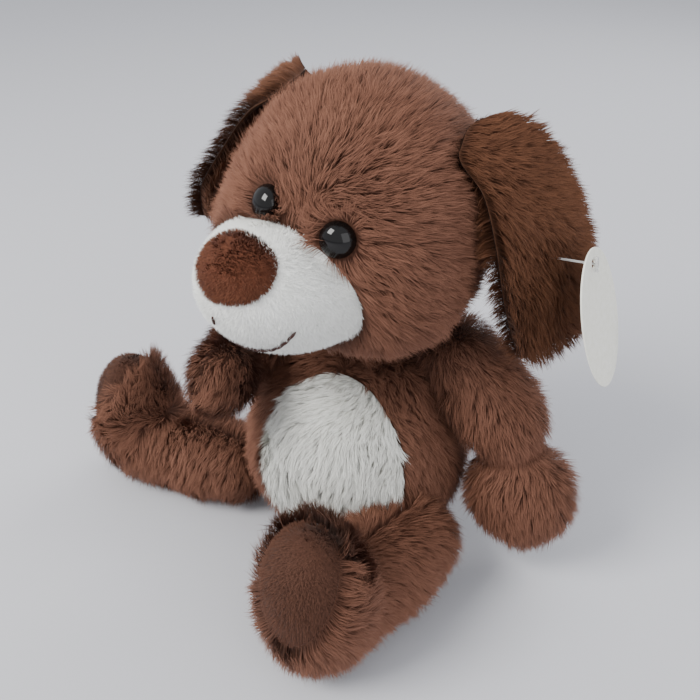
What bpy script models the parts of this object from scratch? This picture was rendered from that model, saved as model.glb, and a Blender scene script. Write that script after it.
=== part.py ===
"""A sitting plush dog, 25 cm class: sewn covers, fibre filling, safety eyes,
floppy ears, stitched mouth and a hang tag.

Frame: metres, +Z up, the body faces -Y, the dog's left is +X.  The origin is
under the middle of the dog, on the surface that it sits on.
The plush covers are modelled at the mean height of their pile.
"""
import math

import bmesh
import bpy
import numpy as np
from mathutils import Euler, Matrix, Vector

MM = 0.001

# ---------------------------------------------------------------- dimensions
# All in millimetres and degrees.  Every form below is given at the fabric's
# backing (level 0); a cover's outer face stands PILE above that level.
PILE = 6.0            # long brown and white pile, mean height
PILE_BELLY = 5.0      # the white belly pile lies a little lower
SHORT = 1.6           # short pile of the muzzle, nose and soles
COVER_T = 6.0         # long-pile cover, backing and pile together
SHORT_T = 1.7         # short-pile cover
FILL_GAP = 0.7        # filling to cover
SEAM_GAP = 1.3        # between two sewn edges

# body
BODY_TOP = 121.0
NECK_Z = 111.0        # centre of the neck dome, pivot of the head
NECK_R = 21.0         # neck dome, outer
NECK_Y = 2.0

# head: its forms are given about the centre of its ball, then turned as a whole
HEAD_YAW = -16.0
HEAD_PITCH = -4.0
HEAD_ROLL = 11.0
HEAD_AT = (3.0, -1.0, 171.0)    # centre of the head's ball
HEAD_C = (0.0, 0.0, 0.0)

# bounding box shift, so that the origin is under the middle of the whole toy
SHIFT = (15.8, 15.0)

COL = "plush_dog"


# ------------------------------------------------------------------- helpers
def purge():
    for o in list(bpy.data.objects):
        bpy.data.objects.remove(o)
    for c in list(bpy.data.collections):
        bpy.data.collections.remove(c)


purge()
SCENE = bpy.context.scene
PARTS = bpy.data.collections.new(COL)
CUTTERS = bpy.data.collections.new("cutters")
FRAMES = bpy.data.collections.new("frames")
for c in (PARTS, CUTTERS, FRAMES):
    SCENE.collection.children.link(c)


def material(name, rgb, rough, metal=0.0):
    m = bpy.data.materials.new(name)
    m.use_nodes = True
    b = m.node_tree.nodes["Principled BSDF"]
    b.inputs["Base Color"].default_value = (*rgb, 1.0)
    b.inputs["Roughness"].default_value = rough
    b.inputs["Metallic"].default_value = metal
    m.diffuse_color = (*rgb, 1.0)
    return m


BROWN = (0.19, 0.075, 0.045)
DARK = (0.095, 0.035, 0.018)
NOSE = (0.13, 0.035, 0.016)
WHITE = (0.76, 0.77, 0.73)
FIBRE = (0.85, 0.85, 0.84)
BLACK = (0.006, 0.005, 0.005)
THREAD = (0.05, 0.015, 0.01)
CARD = (0.88, 0.86, 0.76)
NYLON = (0.8, 0.8, 0.8)
SATIN = (0.86, 0.86, 0.85)


def empty(name, loc, rot=(0, 0, 0), parent=None):
    e = bpy.data.objects.new(name, None)
    e.empty_display_size = 0.01
    FRAMES.objects.link(e)
    e.location = Vector(loc) * MM
    e.rotation_euler = Euler([math.radians(a) for a in rot], "XYZ")
    e.parent = parent
    return e


def outward(bm):
    """Turn a closed body's faces outwards."""
    if all(e.is_manifold for e in bm.edges) and bm.calc_volume(signed=True) < 0:
        bmesh.ops.reverse_faces(bm, faces=bm.faces)


def node(name, bm_or_mesh, rgb, rough=0.9, parent=None, smooth=True, metal=0.0, loc=None, rot=None):
    if isinstance(bm_or_mesh, bmesh.types.BMesh):
        outward(bm_or_mesh)
        me = bpy.data.meshes.new(name)
        bm_or_mesh.to_mesh(me)
        bm_or_mesh.free()
    else:
        me = bm_or_mesh
    if smooth:
        me.shade_smooth()
        me.set_sharp_from_angle(angle=math.radians(50))
    o = bpy.data.objects.new(name, me)
    me.materials.append(material(name, rgb, rough, metal))
    PARTS.objects.link(o)
    o.parent = parent
    if loc is not None:
        o.location = Vector(loc) * MM
    if rot is not None:
        o.rotation_euler = rot
    return o


def cutter(name, bm, parent=None):
    outward(bm)
    me = bpy.data.meshes.new(name)
    bm.to_mesh(me)
    bm.free()
    o = bpy.data.objects.new(name, me)
    CUTTERS.objects.link(o)
    o.hide_render = True
    o.display_type = "WIRE"
    o.parent = parent
    return o


def cut(obj, tool):
    m = obj.modifiers.new("cut_" + tool.name, "BOOLEAN")
    m.operation = "DIFFERENCE"
    m.solver = "EXACT"
    m.object = tool
    return m


def shell(obj, thickness):
    m = obj.modifiers.new("cover", "SOLIDIFY")
    m.thickness = thickness * MM
    m.offset = -1.0
    m.use_rim = True
    return m


# ---------------------------------------------------------------- form fields
def ell(p, c, s):
    """Distance-like field of an ellipsoid with centre c and half axes s."""
    q = (p - np.asarray(c, float)) / np.asarray(s, float)
    k0 = np.linalg.norm(q, axis=-1) + 1e-9
    k1 = np.linalg.norm(q / np.asarray(s, float), axis=-1) + 1e-9
    return k0 * (k0 - 1.0) / k1


def cone(p, a, b, ra, rb):
    """A round cone from a to b."""
    a, b = np.asarray(a, float), np.asarray(b, float)
    ab = b - a
    t = np.clip(((p - a) @ ab) / (ab @ ab), 0, 1)
    return np.linalg.norm(p - a - t[..., None] * ab, axis=-1) - (ra + (rb - ra) * t)


def join(d1, d2, k):
    """Smooth union over a blend width k."""
    h = np.clip(0.5 + 0.5 * (d2 - d1) / k, 0, 1)
    return d2 * (1 - h) + d1 * h - k * h * (1 - h)


def reach(field, origin, dirs, level, far=160.0):
    """How far each ray runs from inside the form to the surface at a level."""
    lo = np.zeros(len(dirs))
    hi = np.full(len(dirs), far)
    o = np.asarray(origin, float)
    if o.ndim == 1:
        o = np.tile(o, (len(dirs), 1))
    for _ in range(34):
        mid = 0.5 * (lo + hi)
        inside = field(o + dirs * mid[:, None]) < level
        lo = np.where(inside, mid, lo)
        hi = np.where(inside, hi, mid)
    return 0.5 * (lo + hi)


def frame_of(axis, up=(0, 0, 1)):
    a = np.asarray(axis, float)
    a = a / np.linalg.norm(a)
    u = np.asarray(up, float)
    u = u - a * (u @ a)
    u = u / np.linalg.norm(u)
    return a, u, np.cross(a, u)


def ball_panel(field, centre, axis, seam, level, part, nu, nin, nout, gap=SEAM_GAP, floor=None):
    """One panel of a ball-like bag.  Rings run round `axis` from a centre
    point.  seam(phi) is the seam's angle from the axis: the panel inside it is
    'cap', the rest of the bag is 'bag', and 'whole' is both in one."""
    a, u, w = frame_of(axis)
    bm = bmesh.new()
    nv = nin + nout
    bmesh.ops.create_uvsphere(bm, u_segments=nu, v_segments=nv, radius=1.0)
    bm.verts.ensure_lookup_table()
    co = np.array([v.co[:] for v in bm.verts])
    th = np.arccos(np.clip(co[:, 2], -1, 1))
    ring = np.rint(th / math.pi * nv).astype(int)
    phi = np.arctan2(co[:, 1], co[:, 0])
    s = seam(phi)
    shift = np.zeros_like(s)
    if part != "whole":
        shift = np.where(part == "cap", -1.0, 1.0) * (0.5 * gap / 50.0)
    inner = (s + shift) * ring / nin
    outer = (s + shift) + (math.pi - s - shift) * (ring - nin) / max(nout, 1)
    ang = np.where(ring <= nin, inner, outer)
    d = (np.cos(ang)[:, None] * a + (np.sin(ang) * np.cos(phi))[:, None] * u
         + (np.sin(ang) * np.sin(phi))[:, None] * w)
    r = reach(field, centre, d, level)
    p = np.asarray(centre, float) + d * r[:, None]
    if floor is not None:
        p[:, 2] = np.maximum(p[:, 2], floor)
    for v, q in zip(bm.verts, p):
        v.co = Vector(q) * MM
    rings = {v: int(k) for v, k in zip(bm.verts, ring)}
    if part == "cap":
        dead = [v for v in bm.verts if rings[v] > nin]
        bmesh.ops.delete(bm, geom=dead, context="VERTS")
    elif part == "bag":
        dead = [v for v in bm.verts if rings[v] < nin]
        bmesh.ops.delete(bm, geom=dead, context="VERTS")
    bmesh.ops.recalc_face_normals(bm, faces=bm.faces)
    if part == "cap":
        # an open panel: its faces look away from the bag's centre
        f = max(bm.faces, key=lambda f: f.calc_area())
        if f.normal.dot(f.calc_center_median() - Vector(centre) * MM) < 0:
            bmesh.ops.reverse_faces(bm, faces=bm.faces)
    return bm


def spline(points, n):
    """n points along a smooth curve through the given ones (Catmull-Rom)."""
    P = np.asarray(points, float)
    P = np.vstack([2 * P[0] - P[1], P, 2 * P[-1] - P[-2]])
    out = []
    segs = len(P) - 3
    for t in np.linspace(0, segs, n):
        i = min(int(t), segs - 1)
        f = t - i
        a, b, c, d = P[i], P[i + 1], P[i + 2], P[i + 3]
        out.append(0.5 * (2 * b + (c - a) * f + (2 * a - 5 * b + 4 * c - d) * f * f
                          + (3 * b - a - 3 * c + d) * f ** 3))
    return np.array(out)


def limb_panel(field, spine, up, level, nu, nroot, nbody, nend, part="whole",
               root_open=0.45, end_seam=None, gap=SEAM_GAP, floor=None):
    """A sewn limb: rings about a spine, a round cap over each end.
    root_open is the half angle (radians) of the opening in the root's cap, 0
    for none.  end_seam is the half angle of the panel over the far end."""
    C = spline(spine, nbody + 1)
    T = np.gradient(C, axis=0)
    T /= np.linalg.norm(T, axis=1)[:, None]
    up = np.asarray(up, float)
    nv = nroot + nbody + nend
    bm = bmesh.new()
    bmesh.ops.create_uvsphere(bm, u_segments=nu, v_segments=nv, radius=1.0)
    co = np.array([v.co[:] for v in bm.verts])
    th = np.arccos(np.clip(co[:, 2], -1, 1))
    ring = np.rint(th / math.pi * nv).astype(int)      # 0 at the root's pole
    phi = np.arctan2(co[:, 1], co[:, 0])
    half = 0.5 * gap / 22.0
    org, dirs = np.zeros((len(co), 3)), np.zeros((len(co), 3))
    for i in range(len(co)):
        k = ring[i]
        j = min(max(k - nroot, 0), nbody)
        t = T[j]
        u = up - t * (up @ t)
        u /= np.linalg.norm(u)
        w = np.cross(t, u)
        radial = math.cos(phi[i]) * u + math.sin(phi[i]) * w
        seam = end_seam(phi[i]) if end_seam is not None else 0.0
        if k < nroot:                        # root cap, backwards along -t
            if part == "bag" and root_open > 0:
                ang = root_open + (math.pi / 2 - root_open) * max(k - 1, 0) / (nroot - 1)
            else:
                ang = math.pi / 2 * k / nroot
            d = -math.cos(ang) * t + math.sin(ang) * radial
        elif k >= nroot + nbody and (k > nroot + nbody or part == "cap"):
            if part == "bag" and end_seam is not None:
                m = max(nv - 1 - k, 0) / (nend - 1)
                ang = (seam + half) + (math.pi / 2 - seam - half) * m
            elif part == "cap":
                ang = (seam - half) * (nv - k) / nend
            else:
                ang = math.pi / 2 * (nv - k) / nend
            d = math.cos(ang) * t + math.sin(ang) * radial
        else:
            d = radial
        org[i], dirs[i] = C[j], d
    r = reach(field, org, dirs, level)
    p = org + dirs * r[:, None]
    if floor is not None:
        p[:, 2] = np.maximum(p[:, 2], floor)
    for v, q in zip(bm.verts, p):
        v.co = Vector(q) * MM
    rings = {v: int(k) for v, k in zip(bm.verts, ring)}
    if part == "bag":
        dead = []
        if root_open > 0:
            dead += [v for v in bm.verts if rings[v] == 0]
        if end_seam is not None:
            dead += [v for v in bm.verts if rings[v] == nv]
        bmesh.ops.delete(bm, geom=dead, context="VERTS")
    elif part == "cap":
        bmesh.ops.delete(bm, geom=[v for v in bm.verts if rings[v] < nroot + nbody], context="VERTS")
    bmesh.ops.recalc_face_normals(bm, faces=bm.faces)
    if part == "cap":
        f = max(bm.faces, key=lambda f: f.calc_area())
        if f.normal.dot(Vector(T[-1])) < 0:
            bmesh.ops.reverse_faces(bm, faces=bm.faces)
    return bm


# ------------------------------------------------------------------ the body
P_NECK = np.array([0.0, NECK_Y, NECK_Z])


def body_field(p):
    f = ell(p, (0, 0, 46), (49, 45, 47))
    f = join(f, ell(p, (0, 1, 71.5), (38, 32, 30)), 14.0)
    f = join(f, cone(p, (-27, 1, 86), (27, 1, 86), 11.5, 11.5), 8.0)
    dome = np.linalg.norm(p - P_NECK, axis=-1) - (NECK_R - PILE)
    return np.minimum(f, dome)


BODY_C = (0.0, 0.0, 52.0)
BELLY_AXIS = (0.0, -1.0, 0.06)


def belly_seam(phi):
    # an upright oval that runs from under the chin to the crotch
    up = np.cos(phi)
    side = np.sin(phi)
    v = np.where(up > 0, 1.10, 0.84)
    return 1.0 / np.sqrt((up / v) ** 2 + (side / 0.80) ** 2)


def outside(field, start, direction, level):
    """The point on a ray from `start` where the field reaches a level."""
    d = np.asarray(direction, float)
    d = d / np.linalg.norm(d)
    o = np.asarray(start, float)
    return o + d * reach(field, o, d[None, :], level)[0]


def normal_at(field, p):
    p = np.asarray(p, float)
    e = np.eye(3) * 0.05
    g = np.array([field((p + e[i])[None, :])[0] - field((p - e[i])[None, :])[0] for i in range(3)])
    return g / np.linalg.norm(g)


base = empty("body_frame", (0, 0, 0))

NB = 24
body_cover = node("body_cover", ball_panel(body_field, BODY_C, BELLY_AXIS, belly_seam, PILE, "bag", NB, 4, 11, floor=0.0), BROWN)
shell(body_cover, COVER_T)
belly_patch = node("belly_patch", ball_panel(body_field, BODY_C, BELLY_AXIS, belly_seam, PILE_BELLY, "cap", NB, 4, 11, floor=0.0), WHITE)
shell(belly_patch, PILE_BELLY - 0.2)
body_stuffing = node("body_stuffing", ball_panel(body_field, BODY_C, BELLY_AXIS, belly_seam, PILE - COVER_T - FILL_GAP - 1.3, "whole", NB, 4, 10, floor=COVER_T + 0.8), FIBRE)

# ------------------------------------------------------------------ the head
neck = empty("neck_turn", P_NECK)
head = empty("head_frame", np.array(HEAD_AT) - P_NECK, (HEAD_PITCH, HEAD_ROLL, HEAD_YAW), neck)
TO_HEAD = np.array(Euler([math.radians(a) for a in (HEAD_PITCH, HEAD_ROLL, HEAD_YAW)], "XYZ").to_matrix())


def ball_field(p):
    f = ell(p, HEAD_C, (50, 48, 52))
    f = join(f, ell(p, (25, -15, -17), (25, 25, 23)), 16.0)
    f = join(f, ell(p, (-25, -15, -17), (25, 25, 23)), 16.0)
    return f


# The muzzle is sewn on a little askew, turned towards the dog's right.
HEAD_O = (0.0, -16.0, -8.0)
ASKEW = np.array(Matrix.Rotation(math.radians(-8.0), 3, "Z"))


def askew(p):
    return (np.asarray(p, float) - np.array(HEAD_O)) @ ASKEW.T + np.array(HEAD_O)


def head_field(p):
    q = (p - np.array(HEAD_O)) @ ASKEW + np.array(HEAD_O)
    return join(ball_field(p), ell(q, (0, -42, -21), (33, 38, 25.5)), 7.0)


MUZZLE_AXIS = (0.0, -1.0, -0.14)


def muzzle_seam(phi):
    # a rounded triangle: low between the eyes, wide at the cheeks
    return 0.767 - 0.221 * np.cos(phi) - 0.072 * np.cos(2 * phi) + 0.036 * np.cos(3 * phi)


NH = 24
head_cover = node("head_cover", ball_panel(head_field, HEAD_O, MUZZLE_AXIS, muzzle_seam, PILE, "bag", NH, 5, 11, gap=SEAM_GAP + 3.0), BROWN, parent=head)
shell(head_cover, COVER_T)
muzzle_cover = node("muzzle_cover", ball_panel(head_field, HEAD_O, MUZZLE_AXIS, muzzle_seam, SHORT, "cap", NH, 5, 11), WHITE, parent=head)
shell(muzzle_cover, SHORT_T)
head_stuffing = node("head_stuffing", ball_panel(head_field, HEAD_O, MUZZLE_AXIS, muzzle_seam, -FILL_GAP - 0.6, "whole", NH, 5, 11), FIBRE, parent=head)

# The neck: the body's dome stands in a round opening of the head, and both are
# spheres about the same pivot, so that the head can turn and nod.
neck_in_head = TO_HEAD.T @ (P_NECK - np.array(HEAD_AT))


def ball_cutter(name, r, parent, loc):
    bm = bmesh.new()
    bmesh.ops.create_uvsphere(bm, u_segments=28, v_segments=14, radius=r / math.cos(math.pi / 28) * MM)
    c = cutter(name, bm, parent)
    c.location = Vector(loc) * MM
    return c


socket = ball_cutter("neck_socket", NECK_R + 1.5, head, neck_in_head)
cut(head_cover, socket)
cut(head_stuffing, socket)


def turned(name, profile, rgb, rough, parent, loc, axis, steps=20):
    """A turned piece: (radius, height) pairs from the top down, about `axis`."""
    me = bpy.data.meshes.new(name)
    bm = bmesh.new()
    vs = [bm.verts.new((r * MM, 0, z * MM)) for r, z in profile]
    for a, b in zip(vs, vs[1:]):
        bm.edges.new((a, b))
    bm.to_mesh(me)
    bm.free()
    o = node(name, me, rgb, rough, parent=parent, loc=loc, smooth=False)
    o.rotation_mode = "QUATERNION"
    o.rotation_quaternion = Vector(axis).to_track_quat("Z", "Y")
    m = o.modifiers.new("turn", "SCREW")
    m.steps = m.render_steps = steps
    m.use_merge_vertices = True
    m.merge_threshold = 0.00002
    m.use_smooth_shade = False
    m.use_normal_calculate = False
    return o


def drill(name, r, z0, z1, parent, loc, axis, n=24):
    bm = bmesh.new()
    bmesh.ops.create_cone(bm, cap_ends=True, segments=n, radius1=r * MM, radius2=r * MM, depth=(z1 - z0) * MM)
    bmesh.ops.translate(bm, verts=bm.verts, vec=(0, 0, (z0 + z1) / 2 * MM))
    c = cutter(name, bm, parent)
    c.location = Vector(loc) * MM
    c.rotation_mode = "QUATERNION"
    c.rotation_quaternion = Vector(axis).to_track_quat("Z", "Y")
    return c


# eyes: a domed button with a stem through the cover, and a washer behind it
EYE_R = 7.2
EYE_H = 5.6
STEM_R = 1.8
EYES = {"left": (17.5, 7.8), "right": (-15.8, 8.2)}   # x and z on the face
for side, (ex, ez) in EYES.items():
    at = outside(head_field, (ex, -10.0, ez), (0, -1, 0), 0.0)
    n = normal_at(head_field, at)
    dome = [(0.0, 1.6 + EYE_H)]
    for i in range(1, 7):
        a = math.radians(15 * i)
        dome.append((EYE_R * math.sin(a), 1.9 + (EYE_H - 0.3) * math.cos(a)))
    dome += [(EYE_R - 0.3, 1.6), (STEM_R, 1.6), (STEM_R, -8.2), (STEM_R * 0.6, -9.0), (0.0, -9.0)]
    turned(side + "_eye", dome, BLACK, 0.05, head, at, n)
    turned(side + "_eye_washer", [(2.2, -1.3), (8.0, -1.3), (8.0, -2.9), (2.2, -2.9), (2.2, -1.3)], NYLON, 0.5, head, at, n)
    cut(head_cover, drill(side + "_eye_pocket", EYE_R + 0.4, 1.2, 14, head, at, n))
    cut(muzzle_cover, drill(side + "_muzzle_notch", EYE_R + 0.5, -8, 14, head, at, n))
    cut(head_cover, drill(side + "_eye_hole", STEM_R + 0.35, -6, 4, head, at, n, 12))
    cut(head_stuffing, drill(side + "_washer_pocket", 8.5, -3.4, 14, head, at, n))
    cut(head_stuffing, drill(side + "_stem_pocket", STEM_R + 0.5, -9.8, 0, head, at, n, 12))

# nose: a stuffed short-pile patch over the front of the muzzle
NOSE_AXIS = tuple(ASKEW @ np.array((0.0, -1.0, 0.03)))


def nose_seam(phi):
    # wide and flat above, rounded below
    return 0.240 + 0.004 * np.cos(phi) - 0.062 * np.cos(2 * phi) - 0.006 * np.cos(3 * phi) + 0.012 * np.cos(4 * phi)


nose = node("nose_patch", ball_panel(head_field, HEAD_O, NOSE_AXIS, nose_seam, 5.0, "cap", 24, 4, 8), NOSE, parent=head)
shell(nose, 2.6)


def thread(name, pts, r, rgb, parent, cyclic=False, res=2):
    cu = bpy.data.curves.new(name, "CURVE")
    cu.dimensions = "3D"
    cu.bevel_depth = r * MM
    cu.bevel_resolution = res
    cu.use_fill_caps = not cyclic
    sp = cu.splines.new("POLY")
    sp.points.add(len(pts) - 1)
    for q, p in zip(sp.points, pts):
        q.co = (*(Vector(p) * MM), 1.0)
    sp.use_cyclic_u = cyclic
    cu.materials.append(material(name, rgb, 0.6))
    o = bpy.data.objects.new(name, cu)
    PARTS.objects.link(o)
    o.parent = parent
    return o


def on_face(x, z, level):
    """A point on the muzzle, from the muzzle's own side and height."""
    o = np.array([0.0, -30.0, -20.0])
    t = np.array([x, -75.0, z]) - o
    o, t = askew(o), ASKEW @ (t / np.linalg.norm(t))
    return o + t * reach(head_field, o, t[None, :], level)[0]


THREAD_R = 0.65
smile = [on_face(x, -41.5 + 21.5 * abs(x / 39.0) ** 3.9, SHORT + 0.5 + THREAD_R) for x in np.linspace(-39, 39, 29)]
thread("mouth_thread", smile, THREAD_R, THREAD, head)
philtrum = [on_face(1.5, z, SHORT + 0.5 + THREAD_R) for z in np.linspace(-29.0, -24.4, 4)]
thread("nose_thread", philtrum, THREAD_R, THREAD, head)

# ------------------------------------------------------------------ the ears
EAR_T = 5.4           # one plush layer of the ear, pile included
# Root to tip in the head's frame, as for a left ear, and the way that the flap
# faces.  The right ear hangs closer to the head than the left one.
EARS = {
    "left": dict(line=[(39, -9, 46.5), (53.5, 4, 39.5), (68, 16, 20), (80.5, 24, -4), (90, 28.5, -31)], n=(0.80, -0.25, 0.42), w=32.0),
    "right": dict(line=[(42.5, -6, 42), (58, 1, 29), (69, 4, 4), (75.5, 3, -18), (77, -2, -36)], n=(0.93, -0.15, 0.28), w=28.0),
}


def ear_mid(t, a, s):
    """The middle surface of an ear, t from the root to the tip, a across."""
    E = EARS["left" if s > 0 else "right"]
    line = spline(E["line"], 41)
    i = np.clip(t, 0, 1) * 40
    k = np.minimum(i.astype(int), 39)
    f = (i - k)[:, None]
    c = line[k] * (1 - f) + line[k + 1] * f
    d = line[np.minimum(k + 1, 40)] - line[k]
    d /= np.linalg.norm(d, axis=1)[:, None]
    n = np.array(E["n"], float)
    n = n - d * (d @ n)[:, None]
    n /= np.linalg.norm(n, axis=1)[:, None]
    w = np.cross(d, n)                       # towards the front edge
    grow = np.sin(np.clip(t, 0, 1) * math.pi * 0.62)
    half = E["w"] * np.where(a > 0, 0.38 + 0.64 * grow ** 1.7, 0.52 + 0.52 * grow ** 1.2)
    cup = np.where(a > 0, -1.5, 9.0) * np.sin(np.clip(t, 0, 1) * math.pi * 0.55) * a * a
    p = c + w * (half * a)[:, None] - n * cup[:, None]
    p[:, 0] *= s
    n[:, 0] *= s
    return p, n


def ear_layer(name, s, outer, parent, pivot):
    bm = bmesh.new()
    bmesh.ops.create_uvsphere(bm, u_segments=16, v_segments=12, radius=1.0)
    co = np.array([v.co[:] for v in bm.verts])
    th = np.arccos(np.clip(co[:, 2], -1, 1))
    sn = np.sin(th)
    t = 0.5 - 0.5 * np.cos(th)
    c, q = np.where(sn > 1e-6, co[:, 0] / np.maximum(sn, 1e-6), 0), np.where(sn > 1e-6, co[:, 1] / np.maximum(sn, 1e-6), 0)
    a = c * sn ** (0.55 - 0.2 * t)
    h = np.maximum(q, 0) * sn ** 0.6 * (EAR_T - 0.4) + 0.4
    p, n = ear_mid(t, a, s)
    p = p + n * (h if outer else -h)[:, None]
    for v, r in zip(bm.verts, p - np.array(pivot)):
        v.co = Vector(r) * MM
    bmesh.ops.recalc_face_normals(bm, faces=bm.faces)
    return node(name, bm, DARK, parent=parent)


for side, s in (("left", 1), ("right", -1)):
    pv = np.array(EARS[side]["line"][0], float) * (s, 1, 1)
    piv = empty(side + "_ear_hinge", pv, parent=head)
    ear_layer(side + "_ear_outer", s, True, piv, pv)
    ear_layer(side + "_ear_inner", s, False, piv, pv)

# ------------------------------------------------------------------ the limbs
# Each limb's root is a ball about its pivot.  It stands in a round opening of
# the body, so that it can swing while the gap stays the same.
ROOT_ARM = 12.5       # backing radius of the shoulder ball
ROOT_GAP = 0.9


def sockets(name, r, at, swept=(), on=None):
    """Open the body for a limb's root ball, and for the limb where it passes
    the body at each of its turns (panel, frame, axis, angles)."""
    tools = [ball_cutter(name, r, None, at)]
    for panel, frm, axis, angles in swept:
        for i, deg in enumerate(angles):
            c = cutter("%s_way_%d" % (name, i), panel(), None)
            c.rotation_mode = "QUATERNION"
            turn = Matrix.Rotation(math.radians(deg), 4, Vector(axis))
            c.matrix_world = Matrix.Translation(Vector(at) * MM) @ turn @ frm
            tools.append(c)
    for o in on or (body_cover, body_stuffing, belly_patch):
        for c in tools:
            cut(o, c)


def arm_field(e, w, half, r):
    def f(p):
        d = join(cone(p, (0, 0, 0), e * 0.5, ROOT_ARM, r), cone(p, e * 0.5, e, r, r), 2.0)
        return join(d, ell(p, w, half), 12.0)
    return f


ARMS = {
    "left": dict(at=(49, 1, 107), el=(23, -4, -27), paw=(36, -9, -64), half=(20, 13, 22), r=14.5, turns=(-15, 0, 17, 34, 50)),
    "right": dict(at=(-45, 2, 103), el=(-5, -23, -1), paw=(-1, -49, 1), half=(9, 14, 13), r=11.0, turns=(-20, -16, 0, 10)),
}
for side, a in ARMS.items():
    pv = np.array(a["at"], float)
    piv = empty(side + "_shoulder", pv)
    e, w = np.array(a["el"], float), np.array(a["paw"], float)
    fld = arm_field(e, w, a["half"], a["r"])
    sp = [(0, 0, 0), e * 0.5, e * 0.75 + w * 0.2, w]
    o = node(side + "_arm_cover", limb_panel(fld, sp, (0, 1, 0.2), PILE, 16, 3, 6, 4, "bag"), BROWN, parent=piv)
    shell(o, COVER_T)
    node(side + "_arm_stuffing", limb_panel(fld, sp, (0, 1, 0.2), -FILL_GAP - 0.4, 16, 3, 6, 4, "whole", root_open=0), FIBRE, parent=piv)
    way = (lambda: limb_panel(fld, sp, (0, 1, 0.2), PILE + 0.9, 16, 3, 5, 3, "whole", root_open=0), Matrix(), (-1, 0, 0), a["turns"])
    sockets(side + "_arm_socket", ROOT_ARM + PILE + ROOT_GAP, pv, [way], (body_cover, body_stuffing))


def leg_field(L, r, thigh, shin, wide, foot_z):
    """A leg that runs along -Y from its pivot to a tall foot at a distance L."""
    def f(p):
        d = join(cone(p, (0, 0, 0), (0, -20, -1), r, thigh), cone(p, (0, -20, -1), (0, 18 - L, -1.5), thigh, shin), 3.0)
        return join(d, ell(p, (0, -L, foot_z), (wide, 19, 33)), 12.0)
    return f


def sole_seam(phi):
    # the sole is an upright oval in the end of the foot
    return 1.0 / np.sqrt((np.cos(phi) / 1.16) ** 2 + (np.sin(phi) / 0.92) ** 2)


LEGS = {
    "left": dict(at=(40, -39, 26), yaw=-24.0, L=62.0, r=16.5, thigh=18.4, shin=17.2, wide=21.5, foot_z=14.0),
    "right": dict(at=(-63, -14, 24), yaw=-93.0, L=62.0, r=14.0, thigh=16.4, shin=15.0, wide=19.0, foot_z=16.0),
}
for side, a in LEGS.items():
    piv = empty(side + "_hip", a["at"], (0, 0, a["yaw"]))
    L = a["L"]
    fld = leg_field(L, a["r"], a["thigh"], a["shin"], a["wide"], a["foot_z"])
    sp = [(0, 0, 0), (0, -14, -1), (0, 24 - L, 1), (0, 2 - L, a["foot_z"])]
    o = node(side + "_leg_cover", limb_panel(fld, sp, (0, 0, 1), PILE, 18, 3, 6, 4, "bag", end_seam=sole_seam, gap=SEAM_GAP + 2.0), BROWN, parent=piv)
    shell(o, COVER_T)
    node(side + "_leg_stuffing", limb_panel(fld, sp, (0, 0, 1), -FILL_GAP - 0.4, 16, 3, 6, 4, "whole", root_open=0), FIBRE, parent=piv)
    o = node(side + "_sole", limb_panel(fld, sp, (0, 0, 1), SHORT, 18, 3, 6, 4, "cap", end_seam=sole_seam), DARK, parent=piv)
    shell(o, SHORT_T)
    yaw = Matrix.Rotation(math.radians(a["yaw"]), 4, "Z")
    lift = yaw.to_3x3() @ Vector((-1, 0, 0))
    way = (lambda: limb_panel(fld, sp, (0, 0, 1), PILE + 0.9, 16, 3, 5, 3, "whole", root_open=0), yaw, lift, (0, 15, 30))
    sockets(side + "_leg_socket", a["r"] + PILE + ROOT_GAP, a["at"], [way])

# ------------------------------------------------------------------ the tail
TAIL_AT = (0.0, 52.0, 24.0)
ROOT_TAIL = 5.5


def tail_field(p):
    return join(cone(p, (0, 0, 0), (0, 14, 5), ROOT_TAIL, 7.5), cone(p, (0, 14, 5), (0, 26, 16), 7.5, 6.0), 3.0)


piv = empty("tail_root", TAIL_AT)
sp = [(0, 0, 0), (0, 8, 2.5), (0, 18, 8), (0, 26, 16)]
o = node("tail_cover", limb_panel(tail_field, sp, (0, 0, 1), PILE, 16, 3, 5, 3, "bag", root_open=0.5), BROWN, parent=piv)
shell(o, COVER_T - 0.6)
node("tail_stuffing", limb_panel(tail_field, sp, (0, 0, 1), -1.4, 12, 2, 5, 3, "whole", root_open=0), FIBRE, parent=piv)
sockets("tail_socket", ROOT_TAIL + PILE + ROOT_GAP, TAIL_AT)

# ------------------------------------------------------------------ small sewn pieces
# the waxed thread that gathers the neck, a ring between head and shoulders,
# in a groove round the foot of the neck dome
prof = [(21.3, 122.0), (31.0, 122.0), (31.0, 110.4), (21.3, 110.4), (21.3, 122.0)]
bm = bmesh.new()
vs = [bm.verts.new((r * MM, 0, (z - NECK_Z) * MM)) for r, z in prof[:4]]
for i in range(4):
    bm.edges.new((vs[i], vs[(i + 1) % 4]))
me = bpy.data.meshes.new("neck_groove")
bm.to_mesh(me)
bm.free()
groove = bpy.data.objects.new("neck_groove", me)
CUTTERS.objects.link(groove)
groove.hide_render = True
groove.display_type = "WIRE"
groove.location = Vector(P_NECK) * MM
m = groove.modifiers.new("turn", "SCREW")
m.steps = m.render_steps = 36
m.use_merge_vertices = True
m.merge_threshold = 0.00002
m.use_smooth_shade = False
cut(body_cover, groove)
ring = [(22.0 * math.cos(2 * math.pi * i / 40), 22.0 * math.sin(2 * math.pi * i / 40), 1.4) for i in range(40)]
thread("neck_thread", ring, 0.55, THREAD, neck, cyclic=True, res=2)


def box(name, size, rgb, rough, parent, loc, rot=None, bevel=0.0):
    bm = bmesh.new()
    bmesh.ops.create_cube(bm, size=1.0)
    bmesh.ops.scale(bm, vec=Vector(size) * MM, verts=bm.verts)
    if bevel:
        bmesh.ops.bevel(bm, geom=bm.edges[:], offset=bevel * MM, segments=2, affect="EDGES")
    return node(name, bm, rgb, rough, parent=parent, loc=loc, rot=rot, smooth=False)


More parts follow.
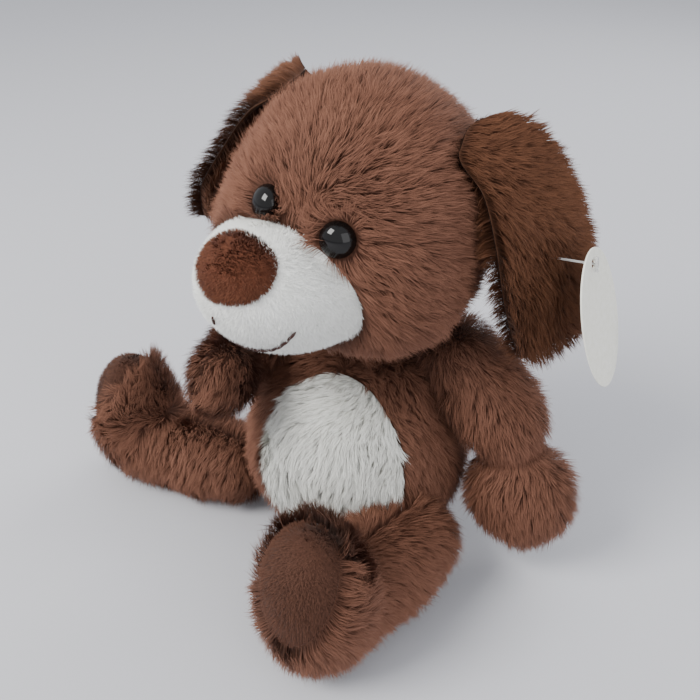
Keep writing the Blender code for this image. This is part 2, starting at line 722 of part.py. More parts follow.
# a blank care label, sewn in at the back near the tail
at = outside(body_field, (0, 0, 40), (0.42, 0.90, -0.10), PILE + 0.5)
nn = normal_at(body_field, at)
lab = box("care_label", (14.0, 17.0, 0.5), SATIN, 0.4, base, at + nn * 8.7)
lab.rotation_mode = "QUATERNION"
lab.rotation_quaternion = Vector(nn).to_track_quat("Y", "Z")

# ------------------------------------------------------------------ hang tag
# A card on a moulded nylon fastener: a bar behind the ear, a thin neck through
# both layers, and a paddle outside the card.
TAG_L, TAG_W, TAG_T = 60.0, 36.0, 0.7
TAG_HOLE_R = 1.9
PIN_R = 0.5
PIN_OUT = 15.5        # ear to card
ear_piv = np.array(EARS["left"]["line"][0], float)
tp, tn = ear_mid(np.array([0.65]), np.array([-0.03]), 1)
tp, tn = tp[0], tn[0]
lear = bpy.data.objects["left_ear_hinge"]


def local(p):
    return np.asarray(p, float) - ear_piv


pin_at = local(tp)
bm = bmesh.new()
z0, z1 = -EAR_T - 1.2, EAR_T + PIN_OUT + 2.0
bmesh.ops.create_cone(bm, cap_ends=True, segments=10, radius1=PIN_R * MM, radius2=PIN_R * MM, depth=(z1 - z0) * MM)
bmesh.ops.translate(bm, verts=bm.verts, vec=(0, 0, (z0 + z1) / 2 * MM))
pin = node("tag_fastener", bm, NYLON, 0.3, parent=lear, loc=pin_at, smooth=False)
pin.rotation_mode = "QUATERNION"
pin.rotation_quaternion = Vector(tn).to_track_quat("Z", "Y")


def pin_box(name, size, z):
    b = bmesh.new()
    bmesh.ops.create_cube(b, size=1.0)
    bmesh.ops.scale(b, vec=Vector(size) * MM, verts=b.verts)
    c = cutter(name, b, lear)
    c.location = Vector(pin_at) * MM + pin.rotation_quaternion @ Vector((0, 0, z * MM))
    c.rotation_mode = "QUATERNION"
    c.rotation_quaternion = pin.rotation_quaternion
    m = pin.modifiers.new(name, "BOOLEAN")
    m.operation = "UNION"
    m.object = c
    return c


pin_box("pin_bar", (1.1, 9.0, 1.1), z0)
pin_box("pin_paddle", (1.0, 6.0, 1.0), z1)
for nm in ("left_ear_outer", "left_ear_inner"):
    cut(bpy.data.objects[nm], drill("pin_hole_" + nm[9:], PIN_R + 0.4, -12, 12, lear, pin_at, tn, 12))

# the card hangs upright on the fastener's neck and swings in its own plane
card_at = pin_at + tn * (EAR_T + PIN_OUT)
hook = empty("tag_swing", card_at, parent=lear)
hook.rotation_mode = "QUATERNION"
ex = Vector(TO_HEAD.T @ np.array([0.93, -0.25, 0.27])).normalized()
up = Vector(TO_HEAD.T @ np.array([-0.26, 0.0, 1.0]))
ez = (up - ex * up.dot(ex)).normalized()
ey = ez.cross(ex)
hook.rotation_quaternion = Matrix((ex, ey, ez)).transposed().to_quaternion()
bm = bmesh.new()
bmesh.ops.create_cone(bm, cap_ends=True, segments=40, radius1=1.0, radius2=1.0, depth=TAG_T * MM)
for v in bm.verts:
    v.co = Vector((v.co.z, v.co.y * TAG_W / 2 * MM, v.co.x * TAG_L / 2 * MM - (TAG_L / 2 - 6.0) * MM))
bmesh.ops.recalc_face_normals(bm, faces=bm.faces)
card = node("hang_tag", bm, CARD, 0.45, parent=hook, smooth=False)
cut(card, drill("tag_hole", TAG_HOLE_R, -3, 3, hook, (0, 0, 0), (1, 0, 0), 16))

# the origin goes under the middle of the toy
SHIFT_BY = (Vector((SHIFT[0], SHIFT[1], 0.0)) * MM)
for o in bpy.data.objects:
    if o.parent is None:
        o.location = o.location + SHIFT_BY
bpy.context.view_layer.update()
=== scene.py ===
import math

import bpy
import numpy as np
from mathutils import Euler, Matrix, Vector


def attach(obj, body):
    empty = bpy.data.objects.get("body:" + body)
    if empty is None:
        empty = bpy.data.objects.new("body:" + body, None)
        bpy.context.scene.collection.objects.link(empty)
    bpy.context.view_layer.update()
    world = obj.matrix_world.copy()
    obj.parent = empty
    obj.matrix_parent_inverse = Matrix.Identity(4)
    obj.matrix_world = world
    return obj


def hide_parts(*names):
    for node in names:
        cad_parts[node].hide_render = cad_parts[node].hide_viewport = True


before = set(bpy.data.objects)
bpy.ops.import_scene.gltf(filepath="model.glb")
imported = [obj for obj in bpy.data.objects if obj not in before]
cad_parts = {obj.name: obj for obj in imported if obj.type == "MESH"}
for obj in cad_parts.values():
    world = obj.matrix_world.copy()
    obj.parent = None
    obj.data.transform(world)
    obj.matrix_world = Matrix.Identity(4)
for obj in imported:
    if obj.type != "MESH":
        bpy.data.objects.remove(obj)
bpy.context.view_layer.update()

MM = 0.001
S = np.array([15.8, 15.0, 0.0])          # the whole toy's shift to its origin
PILE_OUT = 6.0                            # mean height of the long pile

# ------------------------------------------------------------------ camera
CAM_AZ, CAM_EL, CAM_D = 20.0, 32.0, 370.0
TARGET = np.array([0.0, -10.0, 105.0]) + S
a, e = math.radians(CAM_AZ), math.radians(CAM_EL)
back = Vector((math.sin(a) * math.cos(e), -math.cos(a) * math.cos(e), math.sin(e)))
cam_data = bpy.data.cameras.new("camera")
cam_data.sensor_width = 36.0
cam_data.lens = 36.0 * 800.0 / 700.0
cam_data.clip_start = 0.01
cam = bpy.data.objects.new("camera", cam_data)
bpy.context.scene.collection.objects.link(cam)
cam.location = Vector(TARGET) * MM + back * CAM_D * MM
cam.rotation_mode = "QUATERNION"
cam.rotation_quaternion = back.to_track_quat("Z", "Y")
bpy.context.scene.camera = cam


# ------------------------------------------------------------------ fields
def ell(p, c, s):
    q = (p - np.asarray(c, float)) / np.asarray(s, float)
    k0 = np.linalg.norm(q, axis=-1) + 1e-9
    k1 = np.linalg.norm(q / np.asarray(s, float), axis=-1) + 1e-9
    return k0 * (k0 - 1.0) / k1


def cone(p, a, b, ra, rb):
    a, b = np.asarray(a, float), np.asarray(b, float)
    ab = b - a
    t = np.clip(((p - a) @ ab) / (ab @ ab), 0, 1)
    return np.linalg.norm(p - a - t[..., None] * ab, axis=-1) - (ra + (rb - ra) * t)


def join(d1, d2, k):
    h = np.clip(0.5 + 0.5 * (d2 - d1) / k, 0, 1)
    return d2 * (1 - h) + d1 * h - k * h * (1 - h)


def reach(field, origin, dirs, level, far=160.0):
    lo = np.zeros(len(dirs))
    hi = np.full(len(dirs), far)
    o = np.asarray(origin, float)
    if o.ndim == 1:
        o = np.tile(o, (len(dirs), 1))
    for _ in range(26):
        mid = 0.5 * (lo + hi)
        inside = field(o + dirs * mid[:, None]) < level
        lo = np.where(inside, mid, lo)
        hi = np.where(inside, hi, mid)
    return 0.5 * (lo + hi)


def grad(field, p):
    h = 0.4
    g = np.stack([field(p + np.eye(3)[i] * h) - field(p - np.eye(3)[i] * h) for i in range(3)], -1)
    return g / (np.linalg.norm(g, axis=1)[:, None] + 1e-9)


def frame_of(axis, up=(0, 0, 1)):
    a = np.asarray(axis, float)
    a = a / np.linalg.norm(a)
    u = np.asarray(up, float)
    u = u - a * (u @ a)
    u = u / np.linalg.norm(u)
    return a, u, np.cross(a, u)


def euler(p, r, y):
    return np.array(Euler([math.radians(v) for v in (p, r, y)], "XYZ").to_matrix())


def spline(points, n):
    P = np.asarray(points, float)
    P = np.vstack([2 * P[0] - P[1], P, 2 * P[-1] - P[-2]])
    out = []
    segs = len(P) - 3
    for t in np.linspace(0, segs, n):
        i = min(int(t), segs - 1)
        f = t - i
        a, b, c, d = P[i], P[i + 1], P[i + 2], P[i + 3]
        out.append(0.5 * (2 * b + (c - a) * f + (2 * a - 5 * b + 4 * c - d) * f * f
                          + (3 * b - a - 3 * c + d) * f ** 3))
    return np.array(out)


# ------------------------------------------------------------------ noise
def hash3(i, seed):
    """A repeatable random number from 0 to 1 for each integer triple."""
    i = i.astype(np.int64)
    h = (i[..., 0] * 73856093) ^ (i[..., 1] * 19349663) ^ (i[..., 2] * 83492791) ^ (seed * 2654435761)
    h = (h ^ (h >> 13)) * 1274126177
    h = (h ^ (h >> 16)) & 0xFFFFFF
    return h / float(0xFFFFFF)


def vnoise(p, seed):
    """Smooth value noise, about -1 to 1."""
    i = np.floor(p).astype(np.int64)
    f = p - i
    f = f * f * (3 - 2 * f)
    out = 0.0
    for dx in (0, 1):
        for dy in (0, 1):
            for dz in (0, 1):
                w = (f[..., 0] if dx else 1 - f[..., 0]) * (f[..., 1] if dy else 1 - f[..., 1]) * (f[..., 2] if dz else 1 - f[..., 2])
                out = out + w * hash3(i + np.array([dx, dy, dz]), seed)
    return out * 2 - 1


def vec_noise(p, seed):
    return np.stack([vnoise(p, seed + k * 17) for k in range(3)], -1)


# ------------------------------------------------------------------ meshes
def mesh_from(name, verts, tri=None, quad=None, normals=None, uv=None, smooth=True):
    """verts in mm in the row frame; tri and quad are index arrays; uv is per
    vertex."""
    me = bpy.data.meshes.new(name)
    nt = 0 if tri is None else len(tri)
    nq = 0 if quad is None else len(quad)
    me.vertices.add(len(verts))
    me.vertices.foreach_set("co", (np.asarray(verts, float) * MM).astype(np.float32).ravel())
    parts, sizes = [], []
    if nq:
        parts.append(np.asarray(quad).ravel())
        sizes += [np.full(nq, 4)]
    if nt:
        parts.append(np.asarray(tri).ravel())
        sizes += [np.full(nt, 3)]
    loops = np.concatenate(parts).astype(np.int32)
    sizes = np.concatenate(sizes).astype(np.int32)
    starts = np.concatenate([[0], np.cumsum(sizes)[:-1]]).astype(np.int32)
    me.loops.add(len(loops))
    me.loops.foreach_set("vertex_index", loops)
    me.polygons.add(len(sizes))
    me.polygons.foreach_set("loop_start", starts)
    me.polygons.foreach_set("loop_total", sizes)
    me.polygons.foreach_set("use_smooth", np.full(len(sizes), smooth))
    if uv is not None:
        layer = me.uv_layers.new(name="OFBake")
        layer.data.foreach_set("uv", np.asarray(uv, np.float32)[loops].ravel())
    me.update(calc_edges=True)
    me.validate()
    if normals is not None:
        me.normals_split_custom_set_from_vertices(np.asarray(normals, np.float32))
    return me


def piece(name, me, mat, body, stands=()):
    o = bpy.data.objects.new(name, me)
    bpy.context.scene.collection.objects.link(o)
    me.materials.append(mat)
    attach(o, body)
    if stands:
        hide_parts(*stands)
    return o


def grid_faces(nu, nv, first_pole=True, last_pole=True):
    """Faces of rings 0..nv of nu points, where ring 0 and nv are single points
    if they are poles.  Returns tri, quad and each ring's first index."""
    start, k = [], 0
    for r in range(nv + 1):
        start.append(k)
        k += 1 if (r == 0 and first_pole) or (r == nv and last_pole) else nu
    tri, quad = [], []
    for r in range(nv):
        for i in range(nu):
            j = (i + 1) % nu
            if r == 0 and first_pole:
                tri.append((start[0], start[1] + i, start[1] + j))
            elif r == nv - 1 and last_pole:
                tri.append((start[r] + i, start[nv], start[r] + j))
            else:
                quad.append((start[r] + i, start[r + 1] + i, start[r + 1] + j, start[r] + j))
    return np.array(tri, int).reshape(-1, 3), np.array(quad, int).reshape(-1, 4), start


class Skin:
    """A panel's surface: points, normals and triangles, in its own frame."""

    def __init__(self, v, n, tri, quad):
        self.v, self.n, self.tri, self.quad = v, n, tri, quad
        # outward winding
        t = self.tris()
        fn = np.cross(v[t[:, 1]] - v[t[:, 0]], v[t[:, 2]] - v[t[:, 0]])
        if np.sum(np.sum(fn * n[t[:, 0]], 1)) < 0:
            self.tri = self.tri[:, ::-1]
            self.quad = self.quad[:, ::-1]

    def tris(self):
        q = self.quad
        return np.vstack([self.tri, q[:, [0, 1, 2]], q[:, [0, 2, 3]]]) if len(q) else self.tri


def ball_skin(field, centre, axis, seam, level, part, nu, nin, nout, floor=None):
    a, u, w = frame_of(axis)
    phi = np.arange(nu) / nu * 2 * math.pi
    s = seam(phi)
    ang, ph = [], []
    if part == "cap":
        rows = nin
        for k in range(nin + 1):
            if k == 0:
                ang.append([0.0]); ph.append([0.0])
            else:
                ang.append(s * k / nin); ph.append(phi)
        tri, quad, _ = grid_faces(nu, nin, True, False)
    elif part == "bag":
        for k in range(nout + 1):
            if k == nout:
                ang.append([math.pi]); ph.append([0.0])
            else:
                ang.append(s + (math.pi - s) * k / nout); ph.append(phi)
        tri, quad, _ = grid_faces(nu, nout, False, True)
    ang, ph = np.concatenate(ang), np.concatenate(ph)
    d = (np.cos(ang)[:, None] * a + (np.sin(ang) * np.cos(ph))[:, None] * u + (np.sin(ang) * np.sin(ph))[:, None] * w)
    lev = level(ang / np.interp(ph, np.append(phi, 2 * math.pi), np.append(s, s[0])), ph) if callable(level) else level
    r = reach(field, centre, d, lev)
    p = np.asarray(centre, float) + d * r[:, None]
    n = grad(field, p)
    if floor is not None:
        low = p[:, 2] < floor
        p[:, 2] = np.maximum(p[:, 2], floor)
        n[low] = (0, 0, -1)
    return Skin(p, n, tri, quad)


def limb_skin(field, spine, up, level, nu, nroot, nbody, nend, part="whole", end_seam=None):
    C = spline(spine, nbody + 1)
    T = np.gradient(C, axis=0)
    T /= np.linalg.norm(T, axis=1)[:, None]
    up = np.asarray(up, float)
    phi = np.arange(nu) / nu * 2 * math.pi
    s = end_seam(phi) if end_seam is not None else np.zeros(nu)
    org, dirs = [], []

    def ring(j, ang, back_):
        t = T[j]
        u = up - t * (up @ t)
        u /= np.linalg.norm(u)
        w = np.cross(t, u)
        rad = np.cos(phi)[:, None] * u + np.sin(phi)[:, None] * w
        d = np.sin(ang)[:, None] * rad + (-1 if back_ else 1) * np.cos(ang)[:, None] * t
        return np.tile(C[j], (nu, 1)), d

    rows = []
    if part == "cap":
        for k in range(nend + 1):
            ang = s * k / nend
            o, d = ring(nbody, np.broadcast_to(ang, (nu,)).astype(float), False)
            rows.append((o[:1], d[:1]) if k == 0 else (o, d))
        tri, quad, _ = grid_faces(nu, nend, True, False)
    else:
        for k in range(nroot):
            o, d = ring(0, np.full(nu, math.pi / 2 * k / nroot), True)
            rows.append((o[:1], d[:1]) if k == 0 else (o, d))
        for j in range(nbody + 1):
            rows.append(ring(j, np.full(nu, math.pi / 2), False))
        for k in range(1, nend + 1):
            ang = math.pi / 2 + (s - math.pi / 2) * k / nend
            o, d = ring(nbody, ang, False)
            rows.append((o[:1], d[:1]) if (k == nend and end_seam is None) else (o, d))
        tri, quad, _ = grid_faces(nu, nroot + nbody + nend, True, end_seam is None)
    org = np.concatenate([r[0] for r in rows])
    dirs = np.concatenate([r[1] for r in rows])
    r = reach(field, org, dirs, level)
    p = org + dirs * r[:, None]
    return Skin(p, grad(field, p), tri, quad)


# ------------------------------------------------------------------ materials
def links(m):
    return m.node_tree.nodes, m.node_tree.links, m.node_tree.nodes["Principled BSDF"]


def ramp(nodes, stops):
    r = nodes.new("ShaderNodeValToRGB")
    el = r.color_ramp.elements
    while len(el) > 1:
        el.remove(el[-1])
    el[0].position, el[0].color = stops[0][0], (*stops[0][1], 1)
    for pos, c in stops[1:]:
        x = el.new(pos)
        x.color = (*c, 1)
    return r


def pile_material(name, roots, tips, rough=0.75, sheen=0.25, tint=(1, 1, 1)):
    """Strand colour from UV: u is the strand's tone, v runs root to tip, and each ramp darkens towards the root as
    painted shade deep in the pile.
    """
    m = bpy.data.materials.new(name)
    m.use_nodes = True
    n, l, b = links(m)
    uv = n.new("ShaderNodeUVMap")
    uv.uv_map = "OFBake"
    sep = n.new("ShaderNodeSeparateXYZ")
    l.new(uv.outputs[0], sep.inputs[0])
    dark = ramp(n, roots)
    light = ramp(n, tips)
    # v runs each ramp from a dark root to a light tip: painted shade deep in the pile
    l.new(sep.outputs[1], dark.inputs[0])
    l.new(sep.outputs[1], light.inputs[0])
    mix = n.new("ShaderNodeMix")
    mix.data_type = "RGBA"
    l.new(sep.outputs[0], mix.inputs[0])
    l.new(dark.outputs[0], mix.inputs[6])
    l.new(light.outputs[0], mix.inputs[7])
    l.new(mix.outputs[2], b.inputs["Base Color"])
    b.inputs["Roughness"].default_value = rough
    b.inputs["Specular IOR Level"].default_value = 0.25
    b.inputs["Sheen Weight"].default_value = sheen
    b.inputs["Sheen Roughness"].default_value = 0.5
    b.inputs["Sheen Tint"].default_value = (*tint, 1)
    m.diffuse_color = (*tips[-1][1], 1)
    return m


def cloth_material(name, c1, c2, scale=900.0, rough=0.9, bump=0.3, dist=0.0004, sheen=0.3):
    m = bpy.data.materials.new(name)
    m.use_nodes = True
    n, l, b = links(m)
    tc = n.new("ShaderNodeTexCoord")
    no = n.new("ShaderNodeTexNoise")
    no.inputs["Scale"].default_value = scale
    no.inputs["Detail"].default_value = 4
    l.new(tc.outputs["Object"], no.inputs["Vector"])
    r = ramp(n, [(0.3, c1), (0.7, c2)])
    l.new(no.outputs[0], r.inputs[0])
    l.new(r.outputs[0], b.inputs["Base Color"])
    bp = n.new("ShaderNodeBump")
    bp.inputs["Strength"].default_value = bump
    bp.inputs["Distance"].default_value = dist
    l.new(no.outputs[0], bp.inputs["Height"])
    l.new(bp.outputs[0], b.inputs["Normal"])
    b.inputs["Roughness"].default_value = rough
    b.inputs["Specular IOR Level"].default_value = 0.2
    b.inputs["Sheen Weight"].default_value = sheen
    m.diffuse_color = (*c2, 1)
    return m


# Each ramp runs root to tip; its darker root end is painted shade deep in the pile, on top of the shadow the strands
# cast.
BROWN_FUR = pile_material("brown_pile",
    [(0.0, (0.066, 0.026, 0.015)), (0.45, (0.108, 0.043, 0.025)), (1.0, (0.165, 0.067, 0.040))],
    [(0.0, (0.092, 0.037, 0.022)), (0.45, (0.165, 0.069, 0.042)), (1.0, (0.300, 0.138, 0.086))], sheen=0.05, tint=(0.9, 0.6, 0.5))
DARK_FUR = pile_material("ear_pile",
    [(0.0, (0.046, 0.016, 0.007)), (0.45, (0.074, 0.026, 0.011)), (1.0, (0.115, 0.042, 0.019))],
    [(0.0, (0.070, 0.025, 0.011)), (0.45, (0.120, 0.044, 0.020)), (1.0, (0.230, 0.095, 0.046))], sheen=0.04, tint=(0.9, 0.6, 0.5))
WHITE_FUR = pile_material("belly_pile",
    [(0.0, (0.58, 0.57, 0.51)), (0.5, (0.72, 0.72, 0.66)), (1.0, (0.80, 0.80, 0.75))],
    [(0.0, (0.68, 0.67, 0.61)), (0.5, (0.82, 0.82, 0.77)), (1.0, (0.90, 0.90, 0.86))], sheen=0.1)
MUZZLE_FUR = pile_material("muzzle_pile",
    [(0.0, (0.74, 0.74, 0.70)), (1.0, (0.86, 0.87, 0.83))],
    [(0.0, (0.82, 0.82, 0.79)), (1.0, (0.95, 0.96, 0.92))], sheen=0.1)
NOSE_FUR = pile_material("nose_pile",
    [(0.0, (0.075, 0.021, 0.009)), (1.0, (0.125, 0.039, 0.018))],
    [(0.0, (0.105, 0.033, 0.015)), (1.0, (0.215, 0.078, 0.039))], sheen=0.05, tint=(0.9, 0.5, 0.4))
SOLE_FUR = pile_material("sole_pile",
    [(0.0, (0.052, 0.020, 0.011)), (1.0, (0.085, 0.034, 0.020))],
    [(0.0, (0.072, 0.029, 0.016)), (1.0, (0.135, 0.056, 0.034))], sheen=0.06, tint=(0.9, 0.5, 0.4))
# The backings take the root colours of their piles, so they carry the same painted shade at the base of the pile.
BROWN_SKIN = cloth_material("brown_backing", (0.075, 0.030, 0.018), (0.110, 0.045, 0.027), 600, sheen=0.1)
DARK_SKIN = cloth_material("ear_backing", (0.045, 0.017, 0.007), (0.072, 0.027, 0.012), 600, sheen=0.1)
WHITE_SKIN = cloth_material("belly_backing", (0.70, 0.70, 0.67), (0.80, 0.80, 0.77), 600)
MUZZLE_SKIN = cloth_material("muzzle_backing", (0.74, 0.74, 0.71), (0.84, 0.84, 0.82), 1400, bump=0.5)
NOSE_SKIN = cloth_material("nose_backing", (0.075, 0.021, 0.010), (0.120, 0.038, 0.018), 1400, bump=0.5, sheen=0.1)
SOLE_SKIN = cloth_material("sole_backing", (0.050, 0.020, 0.012), (0.080, 0.033, 0.020), 1400, bump=0.5, sheen=0.1)


# ------------------------------------------------------------------ pile
def grow(name, skin, body, mat, place, comb, seed, density, length, width, lean, clump,
         where=None, curl=0.25, tone=0.5, lift=0.0, segs=2, jitter=0.14, low=None, cluster=0.42):
    """Strands over a skin, as one mesh: thin tapered blades that lean along
    `comb` and gather into tufts.  place turns the skin's frame into the row's."""
    rng = np.random.default_rng(seed)
    t = skin.tris()
    A, B, C = skin.v[t[:, 0]], skin.v[t[:, 1]], skin.v[t[:, 2]]
    area = 0.5 * np.linalg.norm(np.cross(B - A, C - A), axis=1)
    n = int(area.sum() * density)
    pick = np.searchsorted(np.cumsum(area) / area.sum(), (np.arange(n) + rng.random(n)) / n)
    pick = np.minimum(pick, len(t) - 1)
    r1, r2 = np.sqrt(rng.random(n)), rng.random(n)
    wa, wb, wc = 1 - r1, r1 * (1 - r2), r1 * r2
    p = A[pick] * wa[:, None] + B[pick] * wb[:, None] + C[pick] * wc[:, None]
    N = skin.n[t[pick, 0]] * wa[:, None] + skin.n[t[pick, 1]] * wb[:, None] + skin.n[t[pick, 2]] * wc[:, None]
    N /= np.linalg.norm(N, axis=1)[:, None] + 1e-9
    if where is not None:
        keep = where(p)
        p, N = p[keep], N[keep]
        n = len(p)
    # tufts: a jittered grid of cells
    q = p / clump + 0.45 * vec_noise(p / (clump * 1.6), seed + 3)
    cell = np.floor(q)
    cj = np.stack([hash3(cell, seed + 31 + k) for k in range(3)], -1)
    centre = p + (cell + 0.25 + 0.5 * cj - q) * clump
    centre -= N * np.sum((centre - p) * N, 1)[:, None]
    h1, h2, h3 = hash3(cell, seed + 5), hash3(cell, seed + 6), hash3(cell, seed + 7)
    # direction
    c = comb(p, N)
    c = c + 0.55 * vec_noise(p / 16.0, seed + 11) + 0.35 * vec_noise(p / 6.0, seed + 12)
    c += 0.5 * (cj - 0.5)
    c -= N * np.sum(c * N, 1)[:, None]
    c /= np.linalg.norm(c, axis=1)[:, None] + 1e-9
    th = math.radians(1) * (lean + 16 * vnoise(p / 11.0, seed + 13) + 16 * (h2 - 0.5) + 7 * rng.standard_normal(n))
    th = np.clip(th, math.radians(4), math.radians(80))
    L = length * (1 + 0.22 * (h1 - 0.5) + 0.16 * vnoise(p / 9.0, seed + 15) + jitter * rng.standard_normal(n))
    L = np.clip(L, length * 0.45, length * 1.45)
    d = np.cos(th)[:, None] * N + np.sin(th)[:, None] * c
    side = np.cross(d, N)
    side /= np.linalg.norm(side, axis=1)[:, None] + 1e-9
    d0 = np.cos(th * 0.45)[:, None] * N + np.sin(th * 0.45)[:, None] * c
    bend = curl * rng.standard_normal(n)
    root = p + N * lift
    mid = root + d0 * (L * 0.5)[:, None] + side * (bend * L * 0.10)[:, None]
    tip = mid + (d * 1.0 + side * (bend * 0.45)[:, None]) * (L * 0.52)[:, None]
    # gather the tips
    tipc = tip + (centre - p)
    tip = tip + (tipc - tip) * cluster
    mid = mid + (centre - p) * (cluster * 0.35)
    roll = rng.uniform(-0.9, 0.9, n)
    wv = side * np.cos(roll)[:, None] + N * np.sin(roll)[:, None]
    w = width * (0.75 + 0.5 * rng.random(n))
    tn = np.clip(tone + 0.24 * (h3 - 0.5) + 0.16 * vnoise(p / 13.0, seed + 21) + 0.14 * rng.standard_normal(n), 0.02, 0.98)

    def out(x):
        y = place(x)
        if low is not None:
            y[:, 2] = np.maximum(y[:, 2], low + 0.25 * np.abs(np.sin(y[:, 0] * 3.1 + y[:, 1] * 5.7)))
        return y

    def turn(x):
        return place(x) - place(np.zeros_like(x))

    up = np.cross(wv, d)
    up *= np.sign(np.sum(up * N, 1))[:, None]
    sn = 0.75 * N + 0.25 * up + 0.10 * rng.standard_normal((n, 3))
    sn /= np.linalg.norm(sn, axis=1)[:, None]
    SN = turn(sn)
    hw = (w * 0.5)[:, None]
    if segs == 2:
        V = np.stack([root - wv * hw, root + wv * hw, mid - wv * hw * 0.95, mid + wv * hw * 0.95, tip], 1)
        k = 5
        vv = np.array([0.0, 0.0, 0.5, 0.5, 1.0])
        us = np.array([-1, 1, -1, 1, 0]) * 0.006
        quad = np.array([0, 1, 3, 2])
        tri = np.array([2, 3, 4])
    else:
        V = np.stack([root - wv * hw, root + wv * hw, tip], 1)
        k = 3
        vv = np.array([0.0, 0.0, 1.0])
        us = np.array([-1, 1, 0]) * 0.006
        quad = None
        tri = np.array([0, 1, 2])
    flat = out(V.reshape(-1, 3))
    base = (np.arange(n) * k)[:, None]
    T = base + tri
    Q = base + quad if quad is not None else None
    # blades face outwards
    Np = turn(N)
    a0 = flat.reshape(n, k, 3)
    fn = np.cross(a0[:, tri[1]] - a0[:, tri[0]], a0[:, tri[2]] - a0[:, tri[0]])
    flip = np.sum(fn * Np, 1) < 0
    T[flip] = T[flip][:, ::-1]
    if Q is not None:
        Q[flip] = Q[flip][:, ::-1]
    # v runs root to tip and picks the materials' darker root colours: painted shade deep in the pile.
    uv = np.stack([np.clip(tn[:, None] + us[None], 0.001, 0.999), np.broadcast_to(vv * 0.98 + 0.01, (n, k))], -1)
    SNk = np.repeat(SN[:, None], k, 1)
    count = max(1, math.ceil(n / 60000))
    for c_ in range(count):
        lo, hi = n * c_ // count, n * (c_ + 1) // count
        me = mesh_from("%s_%d" % (name, c_ + 1) if count > 1 else name, flat.reshape(n, k, 3)[lo:hi].reshape(-1, 3), T[lo:hi] - lo * k,
                       None if Q is None else Q[lo:hi] - lo * k, normals=SNk[lo:hi].reshape(-1, 3), uv=uv[lo:hi].reshape(-1, 2))
        piece(me.name, me, mat, body)
    print("pile", name, n)


def show(name, skin, mat, body, stands, place, lowest=None):
    v = place(skin.v)
    if lowest is not None:
        v[:, 2] = np.maximum(v[:, 2], lowest)
    me = mesh_from(name, v, skin.tri if len(skin.tri) else None, skin.quad if len(skin.quad) else None)
    o = piece(name, me, mat, body, stands)
    m = o.modifiers.new("fine", "SUBSURF")
    m.levels = m.render_levels = 1
    return o


def in_body(p):
    return p + S


D = 1.0           # strand density

# ------------------------------------------------------------------ the body
P_NECK = np.array([0.0, 2.0, 111.0])
NECK_R = 21.0


def body_field(p):
    f = ell(p, (0, 0, 46), (49, 45, 47))
    f = join(f, ell(p, (0, 1, 71.5), (38, 32, 30)), 14.0)
    f = join(f, cone(p, (-27, 1, 86), (27, 1, 86), 11.5, 11.5), 8.0)
    dome = np.linalg.norm(p - P_NECK, axis=-1) - (NECK_R - 6.0)
    return join(f, dome, 3.0)


BODY_C = (0.0, 0.0, 52.0)
BELLY_AXIS = (0.0, -1.0, 0.06)


def belly_seam(phi):
    v = np.where(np.cos(phi) > 0, 1.10, 0.84)
    return 1.0 / np.sqrt((np.cos(phi) / v) ** 2 + (np.sin(phi) / 0.80) ** 2)


# limbs: fields in their own frames
def arm_field(e_, w_, half, r):
    def f(p):
        d = join(cone(p, (0, 0, 0), e_ * 0.5, 12.5, r), cone(p, e_ * 0.5, e_, r, r), 2.0)
        return join(d, ell(p, w_, half), 12.0)
    return f


def leg_field(L, r, thigh, shin, wide, foot_z):
    def f(p):
        d = join(cone(p, (0, 0, 0), (0, -20, -1), r, thigh), cone(p, (0, -20, -1), (0, 18 - L, -1.5), thigh, shin), 3.0)
        return join(d, ell(p, (0, -L, foot_z), (wide, 19, 33)), 12.0)
    return f


def tail_field(p):
    return join(cone(p, (0, 0, 0), (0, 14, 5), 5.5, 7.5), cone(p, (0, 14, 5), (0, 26, 16), 7.5, 6.0), 3.0)


LIMBS = {}
for side, at, el_, paw, half, r in (("left", (49, 1, 107), (23, -4, -27), (36, -9, -64), (20, 13, 22), 14.5),
                                    ("right", (-45, 2, 103), (-5, -23, -1), (-1, -49, 1), (9, 14, 13), 11.0)):
    e_, w_ = np.array(el_, float), np.array(paw, float)
    LIMBS[side + "_arm"] = dict(field=arm_field(e_, w_, half, r), R=np.eye(3), at=np.array(at, float),
                                spine=[(0, 0, 0), e_ * 0.5, e_ * 0.75 + w_ * 0.2, w_], up=(0, 1, 0.2), reach=13.0)
for side, at, yaw, L, r, thigh, shin, wide, fz in (("left", (40, -39, 26), -24.0, 62.0, 16.5, 18.4, 17.2, 21.5, 14.0),
                                                   ("right", (-63, -14, 24), -93.0, 62.0, 14.0, 16.4, 15.0, 19.0, 16.0)):
    LIMBS[side + "_leg"] = dict(field=leg_field(L, r, thigh, shin, wide, fz), R=euler(0, 0, yaw), at=np.array(at, float), L=L,
                                spine=[(0, 0, 0), (0, -14, -1), (0, 24 - L, 1), (0, 2 - L, fz)], up=(0, 0, 1), reach=r)
LIMBS["tail"] = dict(field=tail_field, R=np.eye(3), at=np.array((0, 52, 24.0)),
                     spine=[(0, 0, 0), (0, 8, 2.5), (0, 18, 8), (0, 26, 16)], up=(0, 0, 1), reach=5.5)


def limb_place(lm):
    return lambda p: p @ lm["R"].T + lm["at"] + S


def body_clear(p):
    """Body points that no limb's inside covers."""
    ok = np.ones(len(p), bool)
    for lm in LIMBS.values():
        q = (p - lm["at"]) @ lm["R"]
        ok &= lm["field"](q) > -1.5
    return ok


body_skin = ball_skin(body_field, BODY_C, BELLY_AXIS, belly_seam, 1.0, "bag", 56, 8, 30, floor=1.2)
belly_skin = ball_skin(body_field, BODY_C, BELLY_AXIS, belly_seam, 0.8, "cap", 56, 12, 30, floor=1.2)
o = show("body_backing", body_skin, BROWN_SKIN, "body", ("body_cover",), in_body, 0.6)
show("belly_backing", belly_skin, WHITE_SKIN, "body", ("belly_patch",), in_body, 0.6)


